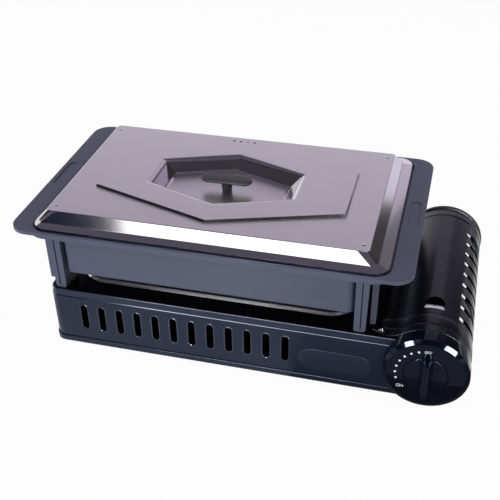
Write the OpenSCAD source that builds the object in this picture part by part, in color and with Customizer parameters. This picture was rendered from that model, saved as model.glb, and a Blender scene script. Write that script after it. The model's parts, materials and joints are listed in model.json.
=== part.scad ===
// Portable gas grill: a long, low tabletop stove with a cartridge bay on its right,
// a deep cast pan standing on its deck and a pressed steel lid lying in the pan.
// Bench frame: x = 0 on the cartridge axis, y = 0 on the base's front, z = 0 on the table.

/* [Base] */
// Pan's left legs to the left end of the base
base_margin = 8.5; // [7:0.5:14]
// Depth of the base from its front to its back
base_d = 248.8; // [244:0.2:258]
// Height of the deck's top face above the table
deck_z = 76.4; // [74:0.2:86]
// Corner radius of the base in plan
base_corner_r = 13; // [8:1:18]
// Sheet thickness of deck, bottom plate, hood and cover
sheet_t = 1.2; // [0.8:0.1:1.6]
// Sheet thickness of the case's walls
case_t = 1.5; // [1.2:0.1:2]
// Width of the ledge on the case round the deck's skirt
case_ledge = 0.8; // [0.5:0.1:1]
// Height of the deck's skirt
skirt_h = 8.4; // [6:0.2:12]
// Height of the bottom plate's upturned edge
plate_edge_h = 6.5; // [5:0.5:9]
// Height of a rubber foot
foot_h = 5; // [4:0.5:7]
// Radius of a rubber foot
foot_r = 8; // [6:0.5:10]
// Distance of the feet from the base's sides
foot_in = 21; // [16:1:28]

/* [Vent slots] */
// Number of slots in the front wall, and in the back wall
slot_n = 12; // [6:1:12]
// Distance between slots
slot_pitch = 20.8; // [16:0.2:21]
// Width of a slot
slot_w = 8; // [5:0.5:10]
// Height of a slot
slot_h = 33; // [24:1:40]
// Left end of the base to the first slot
slot_start = 41; // [30:1:50]
// Height of the slots' middle above the table
slot_z = 42; // [36:1:46]

/* [Deck well] */
// Left end of the base to the well
well_in = 33; // [28:1:40]
// Deck's right end to the well
well_right_in = 38; // [34:1:44]
// Depth of the well, front to back
well_d = 190; // [170:1:196]
// Corner radius of the well
well_r = 25; // [15:1:35]

/* [Cartridge bay] */
// Height of the cartridge axis above the table
bay_z = 47.4; // [46:0.2:48]
// Outer radius of the hood and the cover
cover_r = 43.5; // [43:0.1:44]
// Radius of the fillet that runs from the cover down to the deck
fillet_r = 26; // [20:1:32]
// Width of the cover's flat edge beside the deck
apron_w = 3.7; // [3:0.1:5]
// Outer radius of the dial cap
dial_r = 44; // [43.8:0.1:44.4]
// How far the dial cap stands out of the base's front
dial_out = 11.6; // [9:0.1:14]
// Width of the dial cap's bevel
dial_bevel = 4.5; // [3:0.5:6]
// How far the dial's bevel falls back from its face
dial_fall = 3; // [2:0.5:5]
// Back edge of the dial cap behind the base's front
dial_back = 6.4; // [5:0.1:7]
// Front edge of the cover behind the base's front
cover_front = 34.8; // [33:0.2:37]
// Rear edge of the cover in front of the base's back
cover_rear_in = 7; // [6:0.2:9]
// Outer radius of the rear cap
rear_cap_r = 44.5; // [44.2:0.1:44.8]
// How far the rear cap stands out of the base's back
rear_cap_out = 1.2; // [0.8:0.2:1.6]
// Outer radius of the trough under the cartridge
trough_r = 40.4; // [39.6:0.1:40.6]
// Number of slots in the cover
cover_slot_n = 9; // [6:1:9]
// Distance between slots in the cover
cover_slot_pitch = 20.3; // [16:0.1:21]
// Width of a slot in the cover
cover_slot_w = 6.5; // [4:0.5:8]
// Front edge of the cover to its first slot
cover_slot_start = 10.6; // [9:0.2:13]
// Angle where a slot starts, counted from the right-hand side
slot_top_angle = 53; // [45:1:58]
// Angle where a slot ends below the right-hand side
slot_low_angle = 8; // [0:1:12]
// Radius of the sight window in the cover
window_r = 10.2; // [8:0.2:12]
// Front edge of the cover to the window
window_in = 9.6; // [8:0.2:14]

/* [Cover hinge] */
// Cartridge axis to the hinge axis, sideways
hinge_x = 40.8; // [40.4:0.1:41]
// Cartridge axis to the hinge axis, downwards
hinge_drop = 20.9; // [20:0.1:22]
// Outer radius of a hinge knuckle
knuckle_r = 3.2; // [2.8:0.1:3.4]
// Radius of a hinge pin
pin_r = 1.5; // [1.2:0.1:1.8]
// Length of a cover knuckle
knuckle_l = 18; // [12:1:24]
// Length of a base knuckle
leaf_knuckle_l = 8; // [6:1:12]

/* [Control knob] */
// Radius of the knob's disc
knob_r = 22; // [18:0.5:26]
// How far the grip bar stands out of the dial's face
bar_out = 13; // [10:0.5:18]
// Width of the grip bar
bar_w = 8.5; // [6:0.5:11]
// Radius of the valve shaft
shaft_r = 3; // [2.5:0.1:4]

/* [Burners] */
// Outer radius of a burner tube
burner_r = 10; // [8:0.5:11]
// Height of the burner tubes' axes above the table
burner_z = 52; // [48:1:54]
// Distance of a burner's axis from the middle of the base
burner_off = 78; // [74:1:82]
// Wall of a burner tube
burner_wall = 1.2; // [0.8:0.1:1.6]
// Number of flame ports in a burner
port_n = 26; // [12:1:30]
// Depth of the drip tray
tray_h = 26; // [18:1:30]

/* [Pan] */
// Pan's right legs to the deck's right end
bay_gap = 17.5; // [15:0.5:22]
// Length of the pan from wing to wing
pan_l = 428; // [424:1:440]
// Depth of the pan's flange
pan_d = 254; // [252:1:262]
// Corner radius of the wings
wing_r = 20; // [12:1:28]
// Thickness of the wings
wing_t = 4; // [3:0.5:6]
// Thickness of the rim below the wings
rim_t = 3; // [2:0.5:5]
// Length of the pan's body
body_l = 315; // [300:1:315]
// Depth of the pan's body
body_d = 232; // [220:1:232]
// Corner radius of the pan's body
body_r = 7; // [6:1:16]
// Height of the pan's body below the rim
body_h = 46.7; // [36:0.1:56]
// Wall of the pan
pan_wall = 3.5; // [2.5:0.5:5]
// Floor of the pan
pan_floor = 4; // [3:0.5:6]
// Deck to the underside of the pan's body
pan_lift = 20.6; // [16:0.2:28]
// Width of a leg on the front and back
leg_w = 13.5; // [10:0.5:14]
// Thickness of a leg
leg_t = 5.5; // [4:0.5:6]
// Legs to the front and the back of the base
leg_in = 5.8; // [4:0.2:8]
// Width of a locating lug on the left and right
lug_w = 14; // [10:0.5:18]
// Deck to the lower end of a locating lug
lug_lift = 6.6; // [4:0.2:12]
// Leg to the locating lug beside it
lug_gap = 2; // [2:0.5:6]
// Length of the grip dimple in a wing
dimple_l = 54; // [40:1:70]
// Width of the grip dimple in a wing
dimple_w = 12; // [8:0.5:13]

/* [Lid] */
// Length of the lid over its rim
lid_l = 379; // [370:1:384]
// Depth of the lid over its rim
lid_d = 242; // [234:1:242]
// Corner radius of the lid's rim
lid_r = 16; // [10:1:24]
// Sheet thickness of the lid
lid_t = 1.2; // [0.8:0.1:1.6]
// Height of the lid's upright rim
lid_rim_h = 6; // [4:0.5:8]
// Width of the lid's sloping rim
lid_rim_w = 7; // [5:0.5:10]
// Fall of the lid's sloping rim
lid_rim_fall = 3.3; // [2:0.1:5]
// Width and height of the lid's bevel
lid_bevel = 10; // [7:0.5:13]
// How far the lid's raised top sits to the left of the rim's middle
lid_shift = 4.3; // [0:0.1:5]
// Length of the raised hexagon
hex_l = 281; // [260:1:300]
// Depth of the raised hexagon, point to point
hex_d = 181; // [160:1:186]
// Height of the raised hexagon above the lid's flat
hex_rise = 3; // [2:0.5:4]
// Length of the recess for the handle
recess_l = 163; // [150:1:180]
// Depth of the recess, point to point
recess_d = 108; // [96:1:116]
// How far the recess drops below the raised hexagon
recess_drop = 15.5; // [13:0.5:16]
// How far the recess and its handle sit to the left of the rim's middle
recess_shift = 6.4; // [0:0.1:8]
// Length of the handle's top
handle_l = 59; // [48:1:70]
// Width of the handle's top
handle_w = 18; // [14:1:22]
// Thickness of the handle's top
handle_t = 4.5; // [3:0.5:6]
// Height of the handle over all
handle_h = 16.5; // [14:0.5:20]

/* [Clearances] */
// Gap between sheets that lie against each other
sheet_gap = 0.2; // [0.1:0.05:0.4]
// Gap at the seams of the cartridge bay
seam_gap = 0.3; // [0.2:0.05:0.5]
// Gap round the lid's rim in its seat
lid_gap = 2.5; // [1:0.5:3]
// Radial clearance of a turning fit
turn_gap = 0.05; // [0.02:0.01:0.1]

/* [Hidden] */
$fn = 64;
eps = 0.05;

// Where the bench frame lies in the part's own frame, whose origin is under the middle of its box
fillet_rise = deck_z - bay_z;
fillet_x = -sqrt(pow(cover_r + fillet_r, 2) - pow(fillet_rise + fillet_r, 2));
apron_x = fillet_x - apron_w;
deck_right = apron_x - seam_gap;
leg_gap = 1.5;
leg_x = body_l / 2 + leg_gap;
lug_x = leg_x + leg_w + lug_gap;
pan_reach = bay_gap - deck_right + leg_x + leg_w;
base_reach = pan_reach + leg_x + leg_w + base_margin;
base_mid = base_d / 2;
shift_x = (pan_reach + pan_l / 2 - rear_cap_r) / 2;
shift_y = -(base_mid + pan_d / 2 - dial_out - bar_out) / 2;

// Heights of the base
plate_z = foot_h + sheet_t;
deck_under = deck_z - sheet_t;
skirt_z = deck_z - skirt_h;
case_in = sheet_t + sheet_gap;
inner_in = case_in + case_t;
deck_in = case_in + case_ledge;
screw_r = 1.6;
screw_l = 10;
short_screw_l = 7;

// Cartridge bay
cover_rear = base_d - cover_rear_in;
cover_in = cover_r - sheet_t;
fillet_z = fillet_rise + fillet_r;
fillet_angle = atan2(fillet_z, fillet_x);
divider_x = deck_right + 1.5;
divider_flange = 8;
plate_right = -18;
hinge_z = bay_z - hinge_drop;
hinge_low_angle = -23;
hinge_mid = 30;
hinge_ys = [cover_front + hinge_mid, cover_rear - hinge_mid];
rear_cap_y = cover_rear + seam_gap;
rear_screw_x = 26;
rear_screw_y = base_d + rear_cap_out - 1;
deck_screw_x = deck_right - 3.5;
deck_screw_in = dial_back + 5.5;
deck_screw_ys = [deck_screw_in, base_d - deck_screw_in];
foot_xs = [-base_reach + foot_in, plate_right - foot_in / 2];
plate_screw_xs = [-base_reach + foot_in + 28, -base_reach / 2, divider_x - 30];
plate_screw_ys = [inner_in + 7, base_d - inner_in - 7];
plate_screw_points = [for (x = plate_screw_xs, y = plate_screw_ys) [x, y]];

// Valve, gas line and burners
bulkhead_y = dial_back + 2;
bulkhead_t = 1.5;
flange_y = cover_front + 2;
flange_t = 1.5;
flange_r = trough_r - sheet_t - 0.7;
valve_y = 22;
shaft_boss_r = 8;
shaft_end = 14;
regulator_r = 17;
regulator_screw_x = 12;
tab_w = 2 * window_r + 2;
piezo_x = -24;
piezo_r = 5.5;
piezo_l = 24;
piezo_y = bulkhead_y + bulkhead_t;
pipe_r = 3;
jet_x = divider_x - 14;
lead_r = 1.5;
lead_y = valve_y;
lead_z = 27;
well_x = -base_reach + well_in;
well_l = deck_right - well_right_in - well_x;
burner_left = well_x + 12;
manifold_r = 9;
manifold_x = well_x + well_l - 2;
sleeve_t = 1.5;
sleeve_l = 12;
burner_right = manifold_x - manifold_r + 2;
bracket_t = 1.5;
bracket_xs = [burner_left + 8, burner_right - sleeve_l - 6];
bracket_foot = 12;
tray_z = 30;
tray_gap = 9;
tray_wide = 2 * (burner_off - burner_r - tray_gap);
bracket_screw_off = 45;
bracket_screw_ys = [base_mid - bracket_screw_off, base_mid + bracket_screw_off];
bracket_screw_xs = [for (i = [0, 1]) bracket_xs[i] + bracket_t / 2 + (i - 0.5) * bracket_foot];
bracket_screw_points = [for (x = bracket_screw_xs, y = bracket_screw_ys) [x, y]];
electrode_r = 3.5;
electrode_x = bracket_xs[1] - 2 * electrode_r;
electrode_y = base_mid - (tray_wide + tray_gap) / 2;
electrode_z = burner_z - burner_r - 2;
guard_off = burner_off + burner_r + 4;

// Pan
pan_y = base_mid;
pan_x = -pan_reach;
rim_z = deck_z + pan_lift + body_h;
seat_z = rim_z + rim_t;
wing_z = seat_z + wing_t;
seat_l = lid_l + 2 * lid_gap;
seat_d = lid_d + 2 * lid_gap;
leg_y = base_mid - leg_in;
lug_y = leg_y - 7.6;
leg_web = 3;
leg_web_l = 25;
leg_groove = 1.4;
dimple_sink = 0.8;

// Lid
lid_mid_l = lid_l - 2 * lid_rim_w;
lid_mid_d = lid_d - 2 * lid_rim_w;
lid_top_l = lid_mid_l - 2 * lid_bevel;
lid_top_d = lid_mid_d - 2 * lid_bevel;
lid_mid_h = lid_rim_h + lid_rim_fall;
lid_top_h = lid_mid_h + lid_bevel;
hex_side = hex_d / 2;
recess_side = recess_d / 2 - 2;
recess_slope = 12;
recess_h = lid_top_h + hex_rise - recess_drop;
handle_stem_r = 6.2;
handle_screw_r = 2;
handle_x = pan_x - recess_shift;
handle_z = seat_z + recess_h;
washer_t = 1;
washer_z = handle_z - lid_t - washer_t;
vent_n = 4;

// Sets a piece from the bench frame into the part's frame
module place() {
  translate([shift_x, shift_y, 0]) children();
}

// Rectangle with round corners, centred
module rounded(l, d, r) {
  square([l - 2 * r, d], center = true);
  square([l, d - 2 * r], center = true);
  for (x = [-1, 1], y = [-1, 1])
    translate([x * (l / 2 - r), y * (d / 2 - r)]) circle(r);
}

// Rectangle with its corners cut off, centred
module cornered(l, d, c) {
  polygon([[-l / 2 + c, -d / 2], [l / 2 - c, -d / 2], [l / 2, -d / 2 + c], [l / 2, d / 2 - c],
    [l / 2 - c, d / 2], [-l / 2 + c, d / 2], [-l / 2, d / 2 - c], [-l / 2, -d / 2 + c]]);
}

// Hexagon with two upright sides and a point at the front and the back
module hexagon(l, side, d) {
  polygon([[-l / 2, -side / 2], [0, -d / 2], [l / 2, -side / 2],
    [l / 2, side / 2], [0, d / 2], [-l / 2, side / 2]]);
}

// Slot with round ends, long in the second direction
module obround(w, h) {
  square([w, h - w], center = true);
  for (s = [-1, 1]) translate([0, s * (h - w) / 2]) circle(w / 2);
}

// Outline of the base in plan, moved in by an amount on its three closed sides
module base_plan(inset, right) {
  r = max(base_corner_r - inset, 0.5);
  left = -base_reach + inset;
  translate([left + r, inset]) square([right - left - r, base_d - 2 * inset]);
  translate([left, inset + r]) square([2 * r, base_d - 2 * inset - 2 * r]);
  for (y = [inset + r, base_d - inset - r]) translate([left + r, y]) circle(r);
}

// Sector of a disc between two angles, used to cut arcs
module sector(r, a0, a1) {
  n = ceil((a1 - a0) / 30);
  step = (a1 - a0) / n;
  rim = [for (i = [0:n]) 2 * r * [cos(a0 + i * step), sin(a0 + i * step)]];
  polygon(concat([[0, 0]], rim));
}

// Part of a ring between two angles
module band(r_in, r_out, a0, a1) {
  intersection() {
    difference() {
      circle(r_out);
      circle(r_in);
    }
    sector(r_out, a0, a1);
  }
}

// Extrudes a profile in x and z along the depth
module along_y(y0, y1) {
  translate([0, y1, 0]) rotate([90, 0, 0]) linear_extrude(y1 - y0) children();
}

// Extrudes a profile in y and z along the length
module along_x(x0, x1) {
  translate([x0, 0, 0]) rotate([90, 0, 90]) linear_extrude(x1 - x0) children();
}

// Round bar along the depth
module bar_y(x, z, r, y0, y1) {
  along_y(y0, y1) translate([x, z]) circle(r);
}

// Round bar along the length
module bar_x(y, z, r, x0, x1) {
  along_x(x0, x1) translate([y, z]) circle(r);
}

// Room for the round caps at both ends of the cartridge bay
module cap_room() {
  bar_y(0, bay_z, dial_r + seam_gap, -20, dial_back + seam_gap);
  bar_y(0, bay_z, rear_cap_r + seam_gap, rear_cap_y - seam_gap, base_d + 20);
}

// Section of the hood and cover from an angle on the right, over the top, down to the deck
module cover_section(start) {
  band(cover_in, cover_r, start, fillet_angle);
  translate([fillet_x, fillet_z])
    band(fillet_r, fillet_r + sheet_t, -90, fillet_angle - 180);
  translate([apron_x, fillet_rise - sheet_t]) square([fillet_x - apron_x, sheet_t]);
}

// Round-headed screw pointing down, with its head on z = 0
module screw(r, l) {
  intersection() {
    translate([0, 0, -1.6 * r]) sphere(2.7 * r);
    cylinder(r = 2.1 * r, h = 1.2 * r);
  }
  translate([0, 0, -l]) cylinder(r = r, h = l + eps);
}

// Painted sheet case with front, left and back walls and its vent slots
module base_case() color([0.12, 0.13, 0.19]) place() difference() {
  translate([0, 0, plate_z]) linear_extrude(skirt_z - plate_z) difference() {
    base_plan(case_in, plate_right);
    base_plan(inner_in, 0);
  }
  cap_room();
  for (i = [0:slot_n - 1], y = [0, base_d])
    along_y(y - 10, y + 10)
      translate([-base_reach + slot_start + i * slot_pitch, slot_z]) obround(slot_w, slot_h);
}

// Bottom plate with an upturned edge outside the case
module bottom_plate() color([0.1, 0.11, 0.16]) place() difference() {
  translate([0, 0, foot_h]) union() {
    linear_extrude(sheet_t) base_plan(0, plate_right);
    linear_extrude(plate_edge_h) difference() {
      base_plan(0, plate_right);
      base_plan(sheet_t, 0);
    }
  }
  cap_room();
  for (p = concat(plate_screw_points, bracket_screw_points))
    translate([p[0], p[1], 0]) cylinder(r = screw_r + sheet_gap, h = 2 * foot_h + plate_z);
}

// Four moulded rubber feet, each with a hollow for its rivet
module rubber_feet() color([0.05, 0.05, 0.05]) place()
  for (x = foot_xs, y = [foot_in, base_d - foot_in])
    translate([x, y, 0]) rotate_extrude()
      polygon([[2, 0], [foot_r - 1, 0], [foot_r, 1], [foot_r, foot_h], [2, foot_h]]);

// Screws that hold the bottom plate to the case's inner tabs
module plate_screws() color([0.6, 0.6, 0.62]) place()
  for (p = plate_screw_points)
    translate([p[0], p[1], foot_h]) rotate([180, 0, 0]) screw(screw_r, short_screw_l);

// Enamelled deck with its skirt and the well over the burners
module top_deck() color([0.02, 0.02, 0.03]) place() difference() {
  union() {
    translate([0, 0, deck_under]) linear_extrude(sheet_t) {
      base_plan(deck_in, deck_right);
      translate([-base_reach / 2, deck_in]) square([base_reach / 2, dial_back - deck_in]);
      translate([-base_reach / 2, rear_cap_y]) square([base_reach / 2, base_d - deck_in - rear_cap_y]);
    }
    translate([0, 0, skirt_z]) linear_extrude(skirt_h - eps) difference() {
      base_plan(deck_in, 0);
      base_plan(deck_in + sheet_t, eps);
    }
  }
  cap_room();
  translate([well_x + well_l / 2, base_mid, deck_under - 5])
    linear_extrude(20) rounded(well_l, well_d, well_r);
  for (y = deck_screw_ys) translate([deck_screw_x, y, 0]) cylinder(r = screw_r + sheet_gap, h = deck_z + 5);
}

// Bright screws that hold the deck's right end
module deck_screws() color([0.8, 0.8, 0.82]) place()
  for (y = deck_screw_ys) translate([deck_screw_x, y, deck_z]) screw(screw_r, screw_l);

// Upright sheet between the burners and the cartridge, with a flange under the deck
module bay_divider() color([0.15, 0.15, 0.17]) place() difference() {
  flange_z = deck_under - sheet_gap;
  inset = deck_in + sheet_t + sheet_gap;
  union() {
    translate([divider_x, inset, plate_z]) cube([sheet_t, base_d - 2 * inset, flange_z - plate_z]);
    translate([divider_x - divider_flange, inset, flange_z - sheet_t])
      cube([divider_flange + 4, base_d - 2 * inset, sheet_t]);
  }
  cap_room();
  bar_x(valve_y, bay_z, pipe_r + sheet_gap, -60, 0);
  bar_x(lead_y, lead_z, lead_r + sheet_gap, -60, 0);
  for (y = deck_screw_ys) translate([deck_screw_x, y, bay_z]) cylinder(r = screw_r + turn_gap, h = deck_z);
}

// Plated trough that the cartridge lies in
module cartridge_trough() color([0.75, 0.76, 0.78]) place() {
  trough_front = flange_y + flange_t + seam_gap;
  trough_in = trough_r - sheet_t;
  along_y(trough_front, cover_rear) translate([0, bay_z]) {
    band(trough_in, trough_r, 180, 333);
    translate([divider_x + sheet_t, 0]) square([-trough_in - divider_x - sheet_t, sheet_t]);
  }
}

// Plate behind the dial that carries the valve
module front_bulkhead() color([0.7, 0.71, 0.73]) place() difference() {
  bar_y(0, bay_z, cover_in - sheet_gap, bulkhead_y, bulkhead_y + bulkhead_t);
  bar_y(0, bay_z, shaft_boss_r + sheet_gap, 0, 20);
  for (s = [-1, 1]) bar_y(s * regulator_screw_x, bay_z, screw_r + turn_gap, 0, 20);
}

// Fixed hood over the valve, a ring that runs into the deck on its left
module front_hood() color([0.09, 0.09, 0.11]) place() difference() {
  along_y(dial_back + seam_gap, cover_front - seam_gap) translate([0, bay_z]) {
    cover_section(-90);
    band(cover_in, cover_r, fillet_angle, 270);
  }
  bar_x(valve_y, bay_z, pipe_r + sheet_gap, -60, 0);
  bar_x(lead_y, lead_z, lead_r + sheet_gap, -60, 0);
}

// Dial cap with a bevelled edge and a round hole for the knob
module dial_cap() color([0.03, 0.03, 0.05]) place() {
  depth = dial_out + dial_back;
  face = 2.5;
  wall = 2;
  hole = knob_r + 2 * sheet_gap;
  translate([0, dial_back, bay_z]) rotate([90, 0, 0]) rotate_extrude()
    polygon([[dial_r - wall, 0], [dial_r, 0], [dial_r, depth - dial_fall], [dial_r - dial_bevel, depth],
      [hole, depth], [hole, depth - face], [dial_r - dial_bevel - 1, depth - face],
      [dial_r - wall, depth - dial_fall - 2]]);
}

// Round cap that closes the bay at the back, with a spigot inside the trough
module rear_cap() color([0.05, 0.05, 0.06]) place() {
  edge = 2;
  thick = base_d + rear_cap_out - rear_cap_y;
  spigot_r = trough_r - sheet_t - sheet_gap;
  difference() {
    translate([0, base_d + rear_cap_out, bay_z]) rotate([90, 0, 0]) rotate_extrude()
      polygon([[0, 0], [rear_cap_r - edge, 0], [rear_cap_r, edge], [rear_cap_r, thick],
        [spigot_r, thick], [spigot_r, thick + 6], [spigot_r - 2, thick + 6], [spigot_r - 2, 3], [0, 3]]);
    for (s = [-1, 1]) {
      bar_y(s * rear_screw_x, bay_z, screw_r + sheet_gap, base_d - 20, base_d + 20);
      bar_y(s * rear_screw_x, bay_z, 2.1 * screw_r + sheet_gap, rear_screw_y, base_d + 20);
    }
  }
}

// Screws that hold the rear cap
module rear_cap_screws() color([0.6, 0.6, 0.62]) place()
  for (s = [-1, 1])
    translate([s * rear_screw_x, rear_screw_y, bay_z]) rotate([-90, 0, 0]) screw(screw_r, screw_l);

// Bent leaves on the trough, each with two knuckles for the cover's hinge
module hinge_leaves() color([0.1, 0.1, 0.12]) place() difference() {
  reach = knuckle_l / 2 + seam_gap;
  for (y = hinge_ys) {
    for (s = [[-reach - leaf_knuckle_l, -reach], [reach, reach + leaf_knuckle_l]])
      bar_y(hinge_x, hinge_z, knuckle_r, y + s[0], y + s[1]);
    for (s = [[-reach - leaf_knuckle_l, -reach], [reach, reach + leaf_knuckle_l]])
      along_y(y + s[0], y + s[1]) difference() {
        translate([hinge_x - knuckle_r - 9, hinge_z - 8.2]) square([knuckle_r + 9, 8.2]);
        translate([0, bay_z]) circle(trough_r + eps);
      }
  }
  for (y = hinge_ys) bar_y(hinge_x, hinge_z, pin_r + turn_gap, y - 40, y + 40);
}

// Hinge pins, one through each leaf
module hinge_pins() color([0.7, 0.7, 0.72]) place()
  for (y = hinge_ys) {
    half = knuckle_l / 2 + seam_gap + leaf_knuckle_l;
    bar_y(hinge_x, hinge_z, pin_r, y - half - 0.5, y + half + 0.5);
  }

// Die-cast pressure regulator with its valve and gas outlet
module regulator_body() color([0.62, 0.63, 0.64]) place() difference() {
  rear = flange_y;
  front = bulkhead_y + bulkhead_t;
  union() {
    bar_y(0, bay_z, regulator_r, front, rear);
    bar_y(0, bay_z, shaft_boss_r, bulkhead_y - 4, front + eps);
    bar_x(valve_y, bay_z, pipe_r + 3, -regulator_r - 6, 0);
  }
  bar_y(0, bay_z, shaft_r + turn_gap, 0, shaft_end + 1);
  bar_y(0, bay_z, 7, rear - 8, rear + 1);
  bar_x(valve_y, bay_z, pipe_r + turn_gap, -60, -regulator_r);
  for (s = [-1, 1]) bar_y(s * regulator_screw_x, bay_z, screw_r + turn_gap, 0, bulkhead_y + short_screw_l + 1);
}

// Bright flange that the cartridge's collar seats on, with its locating tab
module regulator_flange() color([0.85, 0.85, 0.86]) place() {
  difference() {
    bar_y(0, bay_z, flange_r, flange_y, flange_y + flange_t);
    bar_y(0, bay_z, 9, flange_y - 1, flange_y + 10);
  }
  difference() {
    translate([-tab_w / 2, flange_y + flange_t - eps, bay_z + flange_r - 5])
      cube([tab_w, cover_front + window_in + 7 - flange_y, sheet_t]);
    translate([0, cover_front + window_in + 14, bay_z]) cylinder(r = 12, h = cover_r);
  }
}

// Screws that hold the regulator to the bulkhead
module regulator_screws() color([0.6, 0.6, 0.62]) place()
  for (s = [-1, 1])
    translate([s * regulator_screw_x, bulkhead_y, bay_z]) rotate([90, 0, 0]) screw(screw_r, short_screw_l);

// Gas pipe from the regulator to the jet
module gas_pipe() color([0.72, 0.73, 0.75]) place() difference() {
  bar_x(valve_y, bay_z, pipe_r, jet_x, -regulator_r - 1);
  bar_x(valve_y, bay_z, pipe_r - 1, jet_x - 1, 0);
}

// Brass jet on the end of the gas pipe, a hexagon with a nose
module gas_jet() color([0.72, 0.55, 0.25]) place() difference() {
  union() {
    along_x(jet_x - 6, jet_x) translate([valve_y, bay_z]) circle(r = pipe_r + 2, $fn = 6);
    bar_x(valve_y, bay_z, 2.4, jet_x - 10, jet_x - 6);
  }
  bar_x(valve_y, bay_z, 0.6, jet_x - 11, jet_x + 1);
}

// Mixing tube and manifold that feed both burners through sleeves
module mixing_manifold() color([0.5, 0.5, 0.52]) place() difference() {
  ends = [valve_y - manifold_r - 2, base_mid + burner_off + manifold_r + 2];
  union() {
    bar_y(manifold_x, bay_z, manifold_r, ends[0], ends[1]);
    bar_x(valve_y, bay_z, manifold_r - 2, manifold_x, jet_x - 8);
    for (y = [base_mid - burner_off, base_mid + burner_off])
      bar_x(y, burner_z, burner_r + turn_gap + sleeve_t, burner_right - sleeve_l, manifold_x);
  }
  bar_y(manifold_x, bay_z, manifold_r - 1.5, ends[0] + 1.5, ends[1] - 1.5);
  bar_x(valve_y, bay_z, manifold_r - 3.5, manifold_x, jet_x);
  for (y = [base_mid - burner_off, base_mid + burner_off])
    bar_x(y, burner_z, burner_r + turn_gap, burner_right - sleeve_l - 1, burner_right + eps);
}

// Burner tube with a closed left end and a row of flame ports
module burner(y, lean) {
  pitch = (burner_right - sleeve_l - burner_left - 40) / (port_n - 1);
  difference() {
    bar_x(y, burner_z, burner_r, burner_left, burner_right);
    bar_x(y, burner_z, burner_r - burner_wall, burner_left + burner_wall, burner_right + 1);
    for (i = [0:port_n - 1])
      translate([burner_left + 20 + i * pitch, y, burner_z]) rotate([lean, 0, 0])
        cylinder(r = 1.1, h = burner_r + 2);
  }
}

// Front burner, its ports leaning to the middle
module burner_front() color([0.6, 0.6, 0.62]) place() burner(base_mid - burner_off, -30);

// Back burner, its ports leaning to the middle
module burner_back() color([0.6, 0.6, 0.62]) place() burner(base_mid + burner_off, 30);

// Bright bent guard between a burner and the outer wall, from bracket to bracket
module burner_guard(side) {
  top = deck_under - 3;
  lip = 15;
  rise = 2.5;
  points = [[0, plate_z], [0, top], [lip, top + rise], [lip, top + rise - sheet_t],
    [sheet_t, top - sheet_t], [sheet_t, plate_z]];
  difference() {
    along_x(bracket_xs[0], bracket_xs[1]) translate([base_mid, 0])
      polygon([for (p = points) [side * (guard_off - p[0]), p[1]]]);
    bar_y(electrode_x, lead_z, lead_r + sheet_gap, 0, base_mid);
  }
}

// Guard beside the front burner
module burner_guard_front() color([0.85, 0.85, 0.86]) place() burner_guard(-1);

// Guard beside the back burner
module burner_guard_back() color([0.85, 0.85, 0.86]) place() burner_guard(1);

// Upright bracket with a notch for each burner and a ledge for the tray
module bracket(x, foot_side) {
  outer = guard_off - sheet_t - sheet_gap;
  ledge = tray_wide / 2 + 4;
  difference() {
    union() {
      along_x(x, x + bracket_t) translate([base_mid, 0]) difference() {
        polygon([[-outer, plate_z], [outer, plate_z], [outer, burner_z], [ledge, burner_z],
          [ledge, tray_z], [-ledge, tray_z], [-ledge, burner_z], [-outer, burner_z]]);
        for (s = [-1, 1]) translate([s * burner_off, burner_z]) circle(burner_r + turn_gap);
      }
      translate([foot_side < 0 ? x - bracket_foot : x, base_mid - outer, plate_z])
        cube([bracket_foot + bracket_t, 2 * outer, sheet_t]);
    }
    for (p = bracket_screw_points) translate([p[0], p[1], 0]) cylinder(r = screw_r + turn_gap, h = tray_z);
  }
}

// Bracket at the burners' closed ends
module bracket_left() color([0.7, 0.7, 0.72]) place() bracket(bracket_xs[0], -1);

// Bracket at the manifold, with the lug that holds the spark electrode
module bracket_right() color([0.7, 0.7, 0.72]) place() {
  bracket(bracket_xs[1], 1);
  difference() {
    translate([electrode_x - 6, electrode_y - 4, electrode_z - 6])
      cube([bracket_xs[1] - electrode_x + 6, 8, 2]);
    translate([electrode_x, electrode_y, 0]) cylinder(r = electrode_r + turn_gap, h = deck_z);
  }
}

// Screws that hold the brackets to the bottom plate
module bracket_screws() color([0.6, 0.6, 0.62]) place()
  for (p = bracket_screw_points) translate([p[0], p[1], plate_z + sheet_t]) screw(screw_r, 2 * sheet_t + 1);

// Enamelled tray between the burners that catches the fat
module drip_tray() color([0.03, 0.03, 0.035]) place() {
  left = bracket_xs[0] - 6;
  right = bracket_xs[1] + bracket_t + 2;
  corner = 10;
  translate([(left + right) / 2, base_mid, tray_z]) difference() {
    linear_extrude(tray_h) rounded(right - left, tray_wide, corner);
    translate([0, 0, sheet_t]) linear_extrude(tray_h)
      rounded(right - left - 2 * sheet_t, tray_wide - 2 * sheet_t, corner - sheet_t);
  }
}

// Piezo igniter that the valve's cam strikes, clipped beside the regulator
module piezo_igniter() color([0.12, 0.12, 0.13]) place() {
  bar_y(piezo_x, lead_z, piezo_r, piezo_y, piezo_y + piezo_l);
  bar_y(piezo_x, lead_z, piezo_r / 2, piezo_y + piezo_l - eps, flange_y);
}

// Insulated lead from the igniter, clipped along the case, to the electrode
module ignition_lead() color([0.75, 0.2, 0.15]) place() {
  bar_x(lead_y, lead_z, lead_r, electrode_x, piezo_x - piezo_r);
  translate([electrode_x, lead_y, lead_z]) sphere(lead_r);
  bar_y(electrode_x, lead_z, lead_r, lead_y, electrode_y);
  translate([electrode_x, electrode_y, lead_z]) sphere(lead_r);
  translate([electrode_x, electrode_y, lead_z]) cylinder(r = lead_r, h = electrode_z - 9 - lead_z);
}

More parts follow.
